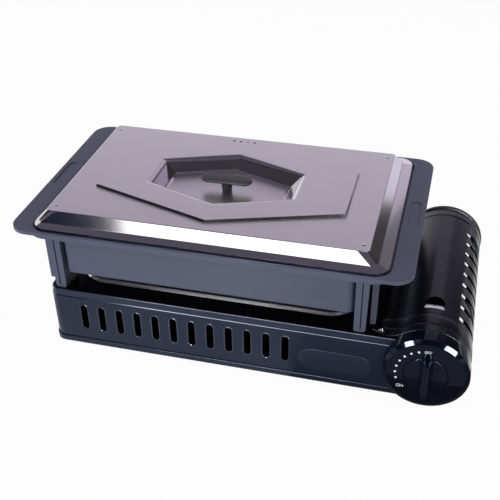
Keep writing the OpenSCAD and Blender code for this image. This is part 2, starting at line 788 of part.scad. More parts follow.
// Ceramic spark electrode with its wire tip
module spark_electrode() color([0.9, 0.88, 0.82]) place()
  translate([electrode_x, electrode_y, electrode_z]) {
  translate([0, 0, -9]) cylinder(r = electrode_r, h = 19);
  translate([0, 0, -4]) cylinder(r = 4.2, h = 3);
  translate([0, 0, 10]) cylinder(r = 0.9, h = 12);
}

// Valve shaft that the knob turns
module valve_shaft() color([0.7, 0.7, 0.72]) place() bar_y(0, bay_z, shaft_r, -dial_out + 3, shaft_end);

// Control knob: a disc flush with the dial, a grip bar across it and a hub on the shaft
module control_knob() color([0.03, 0.03, 0.05]) place() difference() {
  union() {
    bar_y(0, bay_z, knob_r, -dial_out - 0.4, -dial_out + 3.5);
    bar_y(0, bay_z, 7, -dial_out + 3.5 - eps, bulkhead_y - 4.5);
    intersection() {
      bar_y(0, bay_z, knob_r - 1.5, -dial_out - bar_out, -dial_out);
      translate([-bar_w / 2, -dial_out - bar_out, 0]) cube([bar_w, bar_out, 2 * bay_z]);
    }
  }
  bar_y(0, bay_z, shaft_r + turn_gap, -dial_out + 3, 20);
}

// Hinged cover of the cartridge bay with its slots, sight window and knuckles
module cartridge_cover() color([0.1, 0.1, 0.12]) place() difference() {
  union() {
    along_y(cover_front, cover_rear) translate([0, bay_z]) cover_section(hinge_low_angle);
    for (y = hinge_ys) {
      bar_y(hinge_x, hinge_z, knuckle_r, y - knuckle_l / 2, y + knuckle_l / 2);
      along_y(y - knuckle_l / 2, y + knuckle_l / 2) translate([0, bay_z])
        band(cover_in + 0.1, cover_r - 0.1, hinge_low_angle - 6, hinge_low_angle + 3);
    }
  }
  for (i = [0:cover_slot_n - 1]) {
    y = cover_front + cover_slot_start + i * cover_slot_pitch;
    along_y(y - cover_slot_w / 2, y + cover_slot_w / 2) translate([0, bay_z])
      band(cover_in - 2, cover_r + 2, -slot_low_angle, slot_top_angle);
  }
  translate([0, cover_front + window_in + window_r, bay_z]) {
    cylinder(r = window_r, h = cover_r + 20);
    translate([-window_r, -window_r, 0]) cube([2 * window_r, window_r, cover_r + 20]);
  }
  for (y = hinge_ys) bar_y(hinge_x, hinge_z, pin_r + turn_gap, y - 40, y + 40);
}

// Bright strip welded inside the cover along the slots' upper ends
module cover_stiffener() color([0.85, 0.85, 0.86]) place()
  along_y(cover_front + 4, cover_rear - 4) translate([0, bay_z])
    band(cover_in - 1.2, cover_in - eps, slot_top_angle - 9, slot_top_angle + 4);

// One leg of the pan on its front or back, with a groove down its face
module pan_leg() {
  foot = leg_w - 3;
  difference() {
    along_y(0, leg_t)
      polygon([[0, rim_z + eps], [0, deck_z + 2], [1.5, deck_z], [foot - 0.5, deck_z],
        [foot + 1.5, deck_z + 2], [leg_w, rim_z + eps]]);
    translate([leg_w / 2 - 0.5, -eps, deck_z + 4]) cube([leg_groove, leg_t / 2, rim_z - deck_z - 8]);
  }
}

// One corner of the pan's stand: a leg on the front, the web behind it and a lug beside the base
module pan_corner() {
  web_z = deck_z + 6;
  lug_z = deck_z + lug_lift;
  translate([leg_x, -leg_y, 0]) pan_leg();
  translate([leg_x, -leg_y + leg_t - eps, web_z]) cube([leg_web, leg_web_l, rim_z - web_z + eps]);
  translate([lug_x, -lug_y, lug_z]) cube([leg_t, lug_w, rim_z - lug_z + eps]);
}

// Cast pan with two wings, a seat for the lid and a leg and a lug at each corner
module pan() color([0.22, 0.24, 0.29]) place() translate([pan_x, pan_y, 0]) {
  difference() {
    union() {
      translate([0, 0, seat_z]) linear_extrude(wing_t) rounded(pan_l, pan_d, wing_r);
      translate([0, 0, rim_z]) linear_extrude(rim_t + eps)
        rounded(seat_l + 8, pan_d - 1, lid_r + lid_gap + 4);
      translate([0, 0, rim_z - body_h]) linear_extrude(body_h + eps) rounded(body_l, body_d, body_r);
    }
    translate([0, 0, seat_z]) linear_extrude(wing_t + 1) rounded(seat_l, seat_d, lid_r + lid_gap);
    translate([0, 0, rim_z - body_h + pan_floor]) linear_extrude(body_h + rim_t + wing_t)
      rounded(body_l - 2 * pan_wall, body_d - 2 * pan_wall, body_r - pan_wall);
    for (s = [-1, 1]) translate([s * (pan_l + seat_l) / 4, 0, wing_z - dimple_sink])
      linear_extrude(wing_t) obround(dimple_w, dimple_l);
  }
  for (x = [0, 1], y = [0, 1]) mirror([x, 0, 0]) mirror([0, y, 0]) pan_corner();
}

// Thin slab of an outline at a height and moved to the left, for the lid's sloping walls
module slab(z, left = 0) {
  translate([-left, 0, z]) linear_extrude(0.01) children();
}

// Raised hexagon of the lid, moved in by an amount
module lid_rise(inset) {
  l = hex_l - 2 * inset;
  side = hex_side - inset;
  d = hex_d - 2 * inset;
  hull() {
    slab(lid_top_h - lid_t, lid_shift) hexagon(l, side, d);
    slab(lid_top_h, lid_shift) hexagon(l, side, d);
    slab(lid_top_h + hex_rise - inset - 0.01, lid_shift)
      hexagon(l - 2 * hex_rise, side - hex_rise, d - 2 * hex_rise);
  }
}

// Recess of the lid from its floor up to a height, moved out by an amount
module lid_recess(floor, top, out) {
  hull() {
    slab(floor, recess_shift) hexagon(recess_l - 2 * recess_slope + out,
      recess_side - recess_slope / 2 + out, recess_d - 1.5 * recess_slope + out);
    slab(top, recess_shift) hexagon(recess_l + out, recess_side + out, recess_d + out);
  }
}

// Pressed lid: upright rim, bevel, raised hexagon and the recess for its handle
module lid_shell() color([0.66, 0.62, 0.68]) place() translate([pan_x, pan_y, seat_z]) difference() {
  $fn = 32;
  edge_l = lid_mid_l - 2 * lid_t;
  edge_d = lid_mid_d - 2 * lid_t;
  top = lid_top_h + hex_rise;
  union() {
    difference() {
      union() {
        linear_extrude(lid_rim_h) rounded(lid_l, lid_d, lid_r);
        hull() {
          slab(lid_rim_h - 0.01) rounded(lid_l, lid_d, lid_r);
          slab(lid_mid_h, lid_shift) cornered(lid_mid_l, lid_mid_d, 7);
        }
        hull() {
          slab(lid_mid_h - 0.01, lid_shift) cornered(lid_mid_l, lid_mid_d, 7);
          slab(lid_top_h - 0.01, lid_shift) cornered(lid_top_l, lid_top_d, 2);
        }
        lid_rise(0);
      }
      translate([0, 0, -1]) linear_extrude(lid_rim_h + 0.5)
        rounded(lid_l - 2 * lid_t, lid_d - 2 * lid_t, lid_r - lid_t);
      hull() {
        slab(lid_rim_h - 1, lid_shift) cornered(edge_l, edge_d, 7);
        slab(lid_mid_h - lid_t, lid_shift) cornered(edge_l, edge_d, 7);
        slab(lid_top_h - lid_t, lid_shift) cornered(lid_top_l - lid_t, lid_top_d - lid_t, 2);
      }
      lid_rise(lid_t);
    }
    lid_recess(recess_h - lid_t, top - 0.02, 2);
  }
  lid_recess(recess_h, top + eps, 0);
  translate([-recess_shift, 0, 0]) cylinder(r = handle_screw_r + sheet_gap, h = lid_top_h);
  for (i = [0:vent_n - 1])
    translate([(i - 2) * 9 - lid_shift, lid_top_d / 2 - 8, 0]) cylinder(r = 1.2, h = lid_top_h + 5);
}

// Moulded T handle: an oval top on a round stem with a flared foot
module lid_handle() color([0.07, 0.07, 0.09]) place() translate([handle_x, pan_y, handle_z]) difference() {
  union() {
    translate([0, 0, handle_h - handle_t]) linear_extrude(handle_t) rotate(90) obround(handle_w, handle_l);
    cylinder(r = handle_stem_r, h = handle_h - handle_t + eps);
    cylinder(r = handle_stem_r + 2, h = 2);
  }
  translate([0, 0, -1]) cylinder(r = handle_screw_r + turn_gap, h = 11);
}

// Washer under the lid
module handle_washer() color([0.7, 0.7, 0.72]) place() translate([handle_x, pan_y, washer_z]) difference() {
  cylinder(r = 6, h = washer_t);
  translate([0, 0, -1]) cylinder(r = handle_screw_r + sheet_gap, h = 3);
}

// Screw that holds the handle from below
module handle_screw() color([0.7, 0.7, 0.72]) place()
  translate([handle_x, pan_y, washer_z]) rotate([180, 0, 0]) screw(handle_screw_r, 9);

base_case();
bottom_plate();
rubber_feet();
plate_screws();
top_deck();
deck_screws();
bay_divider();
cartridge_trough();
front_bulkhead();
front_hood();
dial_cap();
rear_cap();
rear_cap_screws();
hinge_leaves();
hinge_pins();
regulator_body();
regulator_flange();
regulator_screws();
gas_pipe();
gas_jet();
mixing_manifold();
burner_front();
burner_back();
burner_guard_front();
burner_guard_back();
bracket_left();
bracket_right();
bracket_screws();
drip_tray();
piezo_igniter();
ignition_lead();
spark_electrode();
valve_shaft();
control_knob();
cartridge_cover();
cover_stiffener();
pan();
lid_shell();
lid_handle();
handle_washer();
handle_screw();
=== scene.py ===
import json
from math import radians

import bmesh
import bpy
import numpy as np
from mathutils import Matrix, Vector

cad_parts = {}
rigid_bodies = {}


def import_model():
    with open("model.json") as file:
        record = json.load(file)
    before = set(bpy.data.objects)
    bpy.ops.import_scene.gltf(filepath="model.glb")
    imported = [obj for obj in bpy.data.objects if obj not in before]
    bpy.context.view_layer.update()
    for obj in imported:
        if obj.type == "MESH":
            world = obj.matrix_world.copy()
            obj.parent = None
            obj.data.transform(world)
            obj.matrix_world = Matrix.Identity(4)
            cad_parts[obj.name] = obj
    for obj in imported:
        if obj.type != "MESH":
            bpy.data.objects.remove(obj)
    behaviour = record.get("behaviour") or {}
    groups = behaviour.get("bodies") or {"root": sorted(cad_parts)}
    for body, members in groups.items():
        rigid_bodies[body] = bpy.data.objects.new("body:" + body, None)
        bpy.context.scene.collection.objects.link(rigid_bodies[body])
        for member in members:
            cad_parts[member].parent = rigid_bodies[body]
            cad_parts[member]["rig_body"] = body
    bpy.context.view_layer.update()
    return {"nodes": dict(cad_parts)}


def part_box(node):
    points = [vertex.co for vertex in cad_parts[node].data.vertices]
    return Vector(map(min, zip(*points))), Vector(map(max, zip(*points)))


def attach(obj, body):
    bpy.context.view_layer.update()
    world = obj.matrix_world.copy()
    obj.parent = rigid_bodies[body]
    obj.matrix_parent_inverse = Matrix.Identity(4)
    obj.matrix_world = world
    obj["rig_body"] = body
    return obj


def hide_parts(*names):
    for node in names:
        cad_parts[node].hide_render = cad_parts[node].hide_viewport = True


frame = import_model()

# Base case: steel sheet folded into a shallow box with a row of upright vent slots in its front and back,
# painted satin navy. Folding and paint leave a small flat on every edge, which catches the light; these flats
# get a light, glossy metal as a painted highlight.
MM = 0.001


def finish(name, colour, roughness, metallic=0.0, specular=0.5, drift=0.06, spread=0.12,
           grain=1200.0, depth=0.0, stretch=(1.0, 1.0, 1.0), tint=(1.0, 1.0, 1.0)):
    """Shader whose colour and roughness drift with broad noise, with a fine grain that may be drawn out."""
    material = bpy.data.materials.new(name)
    material.use_nodes = True
    nodes, links = material.node_tree.nodes, material.node_tree.links
    shader = nodes["Principled BSDF"]
    shader.inputs["Metallic"].default_value = metallic
    shader.inputs["Specular IOR Level"].default_value = specular
    shader.inputs["Specular Tint"].default_value = (*tint, 1)
    place = nodes.new("ShaderNodeTexCoord")
    broad = nodes.new("ShaderNodeTexNoise")
    broad.inputs["Scale"].default_value = 14.0
    broad.inputs["Detail"].default_value = 4.0
    links.new(place.outputs["Object"], broad.inputs["Vector"])
    shade = nodes.new("ShaderNodeValToRGB")
    shade.color_ramp.elements[0].position = 0.3
    shade.color_ramp.elements[1].position = 0.7
    shade.color_ramp.elements[0].color = (*[c * (1 - drift) for c in colour], 1)
    shade.color_ramp.elements[1].color = (*[c * (1 + drift) for c in colour], 1)
    links.new(broad.outputs["Fac"], shade.inputs["Fac"])
    links.new(shade.outputs["Color"], shader.inputs["Base Color"])
    drawn = nodes.new("ShaderNodeMapping")
    drawn.inputs["Scale"].default_value = stretch
    links.new(place.outputs["Object"], drawn.inputs["Vector"])
    fine = nodes.new("ShaderNodeTexNoise")
    fine.inputs["Scale"].default_value = grain
    fine.inputs["Detail"].default_value = 2.0
    links.new(drawn.outputs["Vector"], fine.inputs["Vector"])
    rough = nodes.new("ShaderNodeMapRange")
    rough.inputs["From Min"].default_value = 0.25
    rough.inputs["From Max"].default_value = 0.75
    rough.inputs["To Min"].default_value = roughness * (1 - spread)
    rough.inputs["To Max"].default_value = roughness * (1 + spread)
    links.new(fine.outputs["Fac"], rough.inputs["Value"])
    links.new(rough.outputs["Result"], shader.inputs["Roughness"])
    if depth:
        bump = nodes.new("ShaderNodeBump")
        bump.inputs["Strength"].default_value = depth
        bump.inputs["Distance"].default_value = 0.3 * MM
        links.new(fine.outputs["Fac"], bump.inputs["Height"])
        links.new(bump.outputs["Normal"], shader.inputs["Normal"])
    return material


def finished_copy(node, width, segments, material, angle=30.0, edge=None, side=None, hem=0.0):
    """A CAD solid's mesh with its triangles joined, its flat faces merged and its edges bevelled. Its top
    outline may have a chamfer, the hem. The bevels and the upright faces may have materials of their own."""
    weld, same_plane, fold, top_slack = 0.001 * MM, radians(0.6), 1.2, 0.02 * MM
    crease, upright_limit = radians(32), 0.5
    mesh = frame["nodes"][node].data.copy()
    mesh.materials.clear()
    mesh.materials.append(material)
    mesh.materials.append(edge or material)
    mesh.materials.append(side or material)
    work = bmesh.new()
    work.from_mesh(mesh)
    bmesh.ops.remove_doubles(work, verts=work.verts, dist=weld)
    bmesh.ops.dissolve_limit(work, angle_limit=same_plane, verts=work.verts, edges=work.edges)
    if hem:
        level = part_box(node)[1][2] - top_slack
        rim = [line for line in work.edges if line.calc_face_angle(0) > fold
               and min(line.verts[0].co.z, line.verts[1].co.z) > level]
        bmesh.ops.bevel(work, geom=rim, offset=hem * MM, segments=1, profile=0.5, affect="EDGES",
                        clamp_overlap=False, material=1)
    bmesh.ops.triangulate(work, faces=[face for face in work.faces if len(face.verts) > 4])
    work.to_mesh(mesh)
    work.free()
    piece = bpy.data.objects.new(node + "_finished", mesh)
    bpy.context.scene.collection.objects.link(piece)
    bevel = piece.modifiers.new("edges", "BEVEL")
    bevel.width = width * MM
    bevel.segments = segments
    bevel.limit_method = "ANGLE"
    bevel.angle_limit = radians(angle)
    bevel.material = 1
    bevelled = bpy.data.meshes.new_from_object(piece.evaluated_get(bpy.context.evaluated_depsgraph_get()))
    piece.modifiers.clear()
    piece.data = bevelled
    bevelled.name = piece.name
    bevelled.shade_smooth()
    bevelled.set_sharp_from_angle(angle=crease)
    piece.modifiers.new("even shading", "WEIGHTED_NORMAL").keep_sharp = True
    facing = np.zeros((len(bevelled.polygons), 3))
    kind = np.zeros(len(bevelled.polygons), dtype=np.int32)
    bevelled.polygons.foreach_get("normal", facing.ravel())
    bevelled.polygons.foreach_get("material_index", kind)
    kind[(abs(facing[:, 2]) < upright_limit) & (kind == 0)] = 2
    bevelled.polygons.foreach_set("material_index", kind)
    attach(piece, frame["nodes"][node]["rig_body"])
    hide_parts(node)


navy = (0.46, 0.58, 1.0)
case_paint = finish("case paint", (0.009, 0.0115, 0.023), 0.36, specular=0.38, grain=1500, depth=0.04,
                    tint=navy)
# Painted highlight: the edge flats of the case and the deck get a light, glossy metal so that they read as
# bright lines.
edge_highlight = finish("painted edge highlight", (0.26, 0.27, 0.33), 0.13, metallic=1.0, grain=900, drift=0.25)
finished_copy("base_case", 0.3, 1, case_paint, angle=50, edge=edge_highlight, hem=0.55)

# Bottom plate: a flat steel sheet with an upturned edge that the case stands in, in the same navy paint.
# Its upper edge shows as a thin line along the foot of the case, a painted highlight in a lighter metal.
plate_edge_highlight = finish("plate edge painted highlight", (0.09, 0.095, 0.13), 0.30, metallic=1.0, grain=900, drift=0.25)
finished_copy("bottom_plate", 0.3, 1, case_paint, angle=50, edge=plate_edge_highlight, hem=0.45)


# Oval plate: a bare plate fixed to the right of the case's front, pressed from thin sheet with a rolled edge
# and sprayed in a lighter navy.
def surface(name, grids, body, material, crease=38.0, solid=True):
    """Smooth mesh over grids of points in millimetres: quads between neighbours, every row closed round."""
    points, quads, start, weld = [], [], 0, 0.0005 * MM
    for grid in grids:
        here = start + np.arange(grid.shape[0] * grid.shape[1]).reshape(grid.shape[:2])
        beside = np.roll(here, -1, axis=1)
        quads.append(np.stack([here[:-1], beside[:-1], beside[1:], here[1:]], axis=-1).reshape(-1, 4))
        points.append(grid.reshape(-1, 3))
        start += here.size
    mesh = bpy.data.meshes.new(name)
    mesh.from_pydata((np.concatenate(points) * MM).tolist(), [], np.concatenate(quads).tolist())
    work = bmesh.new()
    work.from_mesh(mesh)
    bmesh.ops.remove_doubles(work, verts=work.verts, dist=weld)
    if solid:
        bmesh.ops.recalc_face_normals(work, faces=work.faces)
    work.to_mesh(mesh)
    work.free()
    mesh.shade_smooth()
    mesh.set_sharp_from_angle(angle=radians(crease))
    mesh.materials.append(material)
    piece = bpy.data.objects.new(name, mesh)
    bpy.context.scene.collection.objects.link(piece)
    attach(piece, body)
    return piece


def box_mm(node):
    """Lowest and highest corner of a CAD node in millimetres."""
    low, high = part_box(node)
    return np.array(low) / MM, np.array(high) / MM


def stadium(length, width, steps=24):
    """Outline of two half circles joined by straight lines along x, with as many points at any size."""
    turn = np.concatenate([np.linspace(-90, 90, steps), np.linspace(90, 270, steps)]) * np.pi / 180
    hub = np.where(np.arange(2 * steps) < steps, 1, -1) * (length - width) / 2
    return np.stack([hub + width / 2 * np.cos(turn), width / 2 * np.sin(turn)], axis=-1)


case_front = box_mm("base_case")[0][1]
oval_middle, oval_l, oval_w = (108.3, 33.7), 77.0, 27.0
plate_paint = finish("plate paint", (0.013, 0.016, 0.030), 0.38, specular=0.42, grain=1500, depth=0.04,
                     tint=(0.52, 0.62, 1.0))
oval_inset = np.array([0, 0, 0.25, 0.7, 13.4])
oval_proud = np.array([-0.2, 0.25, 0.45, 0.5, 0.5])
oval_rows = np.stack([stadium(oval_l - 2 * inset, oval_w - 2 * inset) + oval_middle for inset in oval_inset])
oval_y = np.broadcast_to((case_front - oval_proud)[:, None], oval_rows.shape[:2])
oval_grid = np.stack([oval_rows[..., 0], oval_y, oval_rows[..., 1]], axis=-1)
surface("oval_plate", [oval_grid], "base", plate_paint)

# Slot rims: the punch that cuts the vent slots leaves a low rounded rim of the case's own steel round each,
# front and back, in a lighter metal than the paint: a painted highlight.
slot_l, slot_w, slot_pitch, slot_count = 33.0, 8.0, 20.8, 12
slot_first, slot_height = -173.5, 42.0
slot_rim = finish("slot rim painted highlight", (0.07, 0.075, 0.10), 0.32, metallic=1.0, grain=900, drift=0.25)
case_back = box_mm("base_case")[1][1]
rim_out = np.array([0.05, 0.05, 0.4, 0.8, 1.1])
rim_proud = np.array([-0.6, 0.15, 0.3, 0.2, -0.1])
rim_rows = np.stack([stadium(slot_l + 2 * out, slot_w + 2 * out) for out in rim_out])
slot_rims = []
for face, outward in ((case_front, -1), (case_back, 1)):
    for x in slot_first + slot_pitch * np.arange(slot_count):
        y = np.broadcast_to((face + outward * rim_proud)[:, None], rim_rows.shape[:2])
        slot_rims.append(np.stack([x - rim_rows[..., 1], y, slot_height + rim_rows[..., 0]], axis=-1))
surface("slot_rims", slot_rims, "base", slot_rim)

# Rubber feet: four buttons that the grill stands on, of matt black rubber moulded with a fine grain and
# riveted under the bottom plate.
foot_rubber = finish("foot rubber", (0.018, 0.018, 0.019), 0.75, specular=0.3, grain=900, depth=0.25)
finished_copy("rubber_feet", 0.5, 2, foot_rubber)


# Fasteners: round-headed screws with a cross recess, rolled steel with a bright zinc plate. They hold the
# bottom plate, the deck, the brackets, the regulator, the rear cap and the lid's handle.
def cross_screw(seat, axis, head, rise, shank, length):
    """Polar grid of a screw: a domed head, height = rise (0.22 + 0.78 (1 - (r / head)^2)), sunk along two
    crossed bars, then its flat underside and the shank. The grid's axis is turned from z to the given axis."""
    turn = np.linspace(0, 2 * np.pi, 48, endpoint=False)
    reach = np.linspace(0, head, 26)[:, None]
    across, along = reach * np.cos(turn), reach * np.sin(turn)
    half_w, half_l, wall, end = 0.16 * head, 0.62 * head, 0.12, 0.3
    edge_share, sink_share = 0.22, 0.62

    def bar(u, v):
        """One within a bar along v and nought outside it, with sloping walls."""
        inside = np.clip((half_w - abs(u)) / wall + 0.5, 0, 1)
        return inside * np.clip((half_l - abs(v)) / end + 0.5, 0, 1)

    cross = np.maximum(bar(across, along), bar(along, across))
    dome_share = (1 - edge_share) * (1 - (reach / head) ** 2)
    height = rise * (edge_share + dome_share - sink_share * cross)
    dome = np.stack([across, along, height], axis=-1)
    rest = np.array([[head, 0], [shank, 0], [shank, -length], [0, -length]])
    under = np.stack([rest[:, :1] * np.cos(turn), rest[:, :1] * np.sin(turn),
                      np.repeat(rest[:, 1:], len(turn), axis=1)], axis=-1)
    turned = np.array(Vector((0, 0, 1)).rotation_difference(Vector(axis)).to_matrix())
    return np.concatenate([dome, under]) @ turned.T + seat


def fit_screws(node, axis, columns, rows, material, head=3.36):
    """Screws at a lattice in the node's box, seated where their heads start along the axis. The head's rise
    and the shank's radius are shares of the head's radius."""
    low, high = box_mm(node)
    axis = np.array(axis, float)
    main = int(np.argmax(abs(axis)))
    sides = [i for i in range(3) if i != main]
    rise, shank = head * 0.525, head / 2.1
    length = high[main] - low[main] - rise
    seats = []
    for u in np.linspace(low[sides[0]] + head, high[sides[0]] - head, columns):
        for v in np.linspace(low[sides[1]] + head, high[sides[1]] - head, rows):
            seat = np.zeros(3)
            seat[sides] = u, v
            seat[main] = high[main] - rise if axis[main] > 0 else low[main] + rise
            seats.append(seat)
    grids = [cross_screw(seat, axis, head, rise, shank, length) for seat in seats]
    piece = surface(node + "_cross_heads", grids, frame["nodes"][node]["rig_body"], material)
    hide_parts(node)


zinc = finish("zinc plate", (0.60, 0.60, 0.62), 0.30, metallic=1.0, grain=1400, depth=0.06, spread=0.25)
bright = finish("bright plate", (0.84, 0.84, 0.86), 0.20, metallic=1.0, grain=1600, depth=0.03, spread=0.3)
fit_screws("plate_screws", (0, 0, -1), 3, 2, zinc)
fit_screws("bracket_screws", (0, 0, 1), 2, 2, zinc)
fit_screws("regulator_screws", (0, -1, 0), 2, 1, zinc)

# Burner bay: two punched steel burner tubes in brackets, fed by a mixing manifold and a brass jet, with bent
# guards beside them, a drip tray between them and a spark electrode on an insulated lead.
tube_steel = finish("tube steel", (0.46, 0.45, 0.44), 0.38, metallic=1.0, drift=0.12, spread=0.3, grain=900,
                    depth=0.08, stretch=(0.06, 1, 1))
jet_brass = finish("jet brass", (0.72, 0.52, 0.22), 0.26, metallic=1.0, grain=1500, depth=0.04)
tray_enamel = finish("tray enamel", (0.004, 0.004, 0.005), 0.55, specular=0.25, grain=500, depth=0.05)
igniter_plastic = finish("igniter plastic", (0.025, 0.025, 0.027), 0.5, grain=1200, depth=0.15)
lead_jacket = finish("lead jacket", (0.36, 0.05, 0.03), 0.45, grain=1500, depth=0.08)
ceramic = finish("glazed ceramic", (0.78, 0.76, 0.70), 0.22, grain=700, depth=0.04)
# Painted shade: the upright faces of the guards and brackets are near black, standing in for the shade inside
# the case seen through the slots, while their other faces are bright plate.
shade_black = finish("painted shade black", (0.0008, 0.0008, 0.001), 0.7, specular=0.1, grain=500, depth=0.05)
for node in ("burner_guard_front", "burner_guard_back", "bracket_left", "bracket_right"):
    finished_copy(node, 0.3, 2, bright, side=shade_black)
finished_copy("drip_tray", 0.4, 2, tray_enamel)


def recolour(node, material):
    """A CAD solid that is shown as it is, in its own material."""
    mesh = frame["nodes"][node].data
    mesh.materials.clear()
    mesh.materials.append(material)


for node, material in (("burner_front", tube_steel), ("burner_back", tube_steel),
                       ("mixing_manifold", tube_steel), ("gas_pipe", zinc), ("gas_jet", jet_brass),
                       ("piezo_igniter", igniter_plastic), ("ignition_lead", lead_jacket),
                       ("spark_electrode", ceramic)):
    recolour(node, material)

# Deck: a steel pressing over the case with a short skirt and an opening over the burners, in black gloss
# enamel on top; its skirt has the case's navy. A plated collar is crimped round the opening, and two bright
# screws hold the right end.
deck_enamel = finish("deck enamel", (0.0015, 0.0015, 0.002), 0.12, specular=0.3, grain=80, depth=0.01)
skirt_paint = finish("skirt paint", (0.015, 0.019, 0.036), 0.36, specular=0.4, grain=1500, depth=0.04,
                     tint=navy)
finished_copy("top_deck", 0.3, 1, deck_enamel, angle=50, edge=edge_highlight, side=skirt_paint,
              hem=0.7)
deck_top = box_mm("top_deck")[1][2]


def soft_corners(points, cuts, steps=5):
    """A run of points with each inner corner replaced by a parabola that starts and ends its cut away,
    at most just short of half way to the next point."""
    run, most = [points[:1]], 0.48
    share = np.linspace(0, 1, steps + 1).reshape(-1, *[1] * (points.ndim - 1))
    for i in range(1, len(points) - 1):
        back, ahead = points[i - 1] - points[i], points[i + 1] - points[i]
        near = points[i] + back * np.minimum(most, cuts[i] / np.linalg.norm(back, axis=-1, keepdims=True))
        far = points[i] + ahead * np.minimum(most, cuts[i] / np.linalg.norm(ahead, axis=-1, keepdims=True))
        run.append((1 - share) ** 2 * near + 2 * share * (1 - share) * points[i] + share ** 2 * far)
    return np.concatenate(run + [points[-1:]])


def rounded_loop(length, depth, radius, steps=12):
    """Outline of a rectangle with round corners about the origin, the same number of points at any size."""
    turn = np.linspace(0, np.pi / 2, steps) + np.arange(4)[:, None] * np.pi / 2
    hub = np.array([[1, 1], [-1, 1], [-1, -1], [1, -1]]) * [length / 2 - radius, depth / 2 - radius]
    arcs = hub[:, None] + radius * np.stack([np.cos(turn), np.sin(turn)], axis=-1)
    return arcs.reshape(-1, 2)


well_middle, well_l, well_d, well_r = (-31.5, 11.0), 300.0, 190.0, 25.0
collar_w, collar_h, collar_in, collar_drop = 6.6, 3.2, 0.5, 1.5
collar_points = np.array([[collar_w, -0.3], [5.2, 0.05], [2.9, collar_h], [-collar_in, collar_h],
                          [-collar_in, -collar_drop], [0.4, -collar_drop], [collar_w, -0.3]])
collar_profile = soft_corners(collar_points, [0, 0.5, 0.4, 0.8, 0, 0, 0])
collar_rows = [rounded_loop(well_l + 2 * out, well_d + 2 * out, well_r + out) + well_middle
               for out in collar_profile[:, 0]]
collar_grid = np.stack([np.column_stack([row, np.full(len(row), deck_top + up)])
                        for row, up in zip(collar_rows, collar_profile[:, 1])])
collar_plate = finish("collar plate", (0.80, 0.80, 0.82), 0.12, metallic=1.0, grain=1500, drift=0.03)
surface("deck_collar", [collar_grid], "base", collar_plate)
fit_screws("deck_screws", (0, 0, 1), 1, 2, bright)

# Cartridge bay: a sheet divider, a round trough that the cartridge lies in, a bulkhead, and the die-cast
# regulator with the bright flange that the cartridge's collar seats on. A bowed tab is bent from the flange,
# and the trough's right edge is turned up behind the cover's slots. The trough and that lip are near-black
# steel, painted shade for the dark inside of the bay seen through the slots.
bay_sheet = finish("bay sheet", (0.030, 0.031, 0.036), 0.42, specular=0.4, grain=1300, depth=0.06)
valve_alloy = finish("valve alloy", (0.50, 0.50, 0.52), 0.46, metallic=1.0, drift=0.1, grain=900, depth=0.18)
satin_plate = finish("satin plate", (0.92, 0.92, 0.93), 0.34, metallic=1.0, grain=1500, depth=0.03)
# Painted shade: near-black steel for the trough and its turned-up lip.
trough_shade_steel = finish("trough steel painted shade", (0.035, 0.035, 0.040), 0.5, metallic=1.0, grain=1200, depth=0.05)
for node, slot, material in (("bay_divider", "bay_paint", bay_sheet),
                             ("cartridge_trough", "plated_steel", trough_shade_steel),
                             ("front_bulkhead", "plated_steel", bright),
                             ("regulator_body", "valve_alloy", valve_alloy),
                             ("regulator_flange", "plated_steel", satin_plate)):
    finished_copy(node, 0.25, 2, material)
bay_axis = np.round(sum(box_mm("dial_cap"))[[0, 2]] / 2, 1)
flange_high = box_mm("regulator_flange")[1]
tab_half, tab_t, tab_bulge, tab_top = 10.5, 0.8, 5.0, flange_high[2] - 0.1
tab_across = np.concatenate([np.linspace(-tab_half, tab_half, 12), np.linspace(tab_half, -tab_half, 12)])
tab_depth = np.where(np.arange(24) < 12, 0.0, -tab_t)
tab_bow = tab_bulge * (tab_across / tab_half) ** 2
tab_y = flange_high[1] + np.array([[-6.45], [-0.45], [4.55], [5.35], [5.75]])
bow_share = np.array([[0], [0.5], [1], [1], [1]])
tab_fall = np.array([[0], [0], [0], [0.4], [1.4]])
tab_grid = np.stack(np.broadcast_arrays(bay_axis[0] + tab_across, tab_y + bow_share * tab_bow,
                                        tab_top - tab_fall + tab_depth), axis=-1)
surface("flange_tab", [tab_grid], "base", bright)
trough_low, trough_high = box_mm("cartridge_trough")
lip_foot, lip_head, lip_out, lip_in = radians(-28), radians(-12), 40.2, 39.4
lip_turn = np.concatenate([np.linspace(lip_foot, lip_head, 12), np.linspace(lip_head, lip_foot, 12)])
lip_wall = np.where(np.arange(24) < 12, lip_out, lip_in)
lip_core = np.full(24, (lip_out + lip_in) / 2)
lip_rows = ((lip_core, trough_low[1]), (lip_wall, trough_low[1]), (lip_wall, trough_high[1]),
            (lip_core, trough_high[1]))
lip_grid = np.stack([np.column_stack([bay_axis[0] + r * np.cos(lip_turn), np.full(24, y),
                                      bay_axis[1] + r * np.sin(lip_turn)]) for r, y in lip_rows])
surface("trough_lip", [lip_grid], "base", trough_shade_steel)

# Hood: a painted sheet ring over the valve that runs into the deck on its left. A raised belt with a round
# left end is pressed into it, and its front edge is rolled.
bay_paint = finish("bay paint", (0.002, 0.002, 0.004), 0.26, specular=0.52, grain=1500, depth=0.03,
                   tint=(0.76, 0.80, 1.0))
finished_copy("front_hood", 0.5, 2, bay_paint)
hood_low, hood_high = box_mm("front_hood")
ring_r, fillet_r = 43.5, 26.0
fillet_rise = deck_top - bay_axis[1] + fillet_r
fillet_middle = bay_axis + [-np.sqrt((ring_r + fillet_r) ** 2 - fillet_rise ** 2), fillet_rise]
fillet_turn = np.arctan2(fillet_rise, fillet_middle[0] - bay_axis[0])


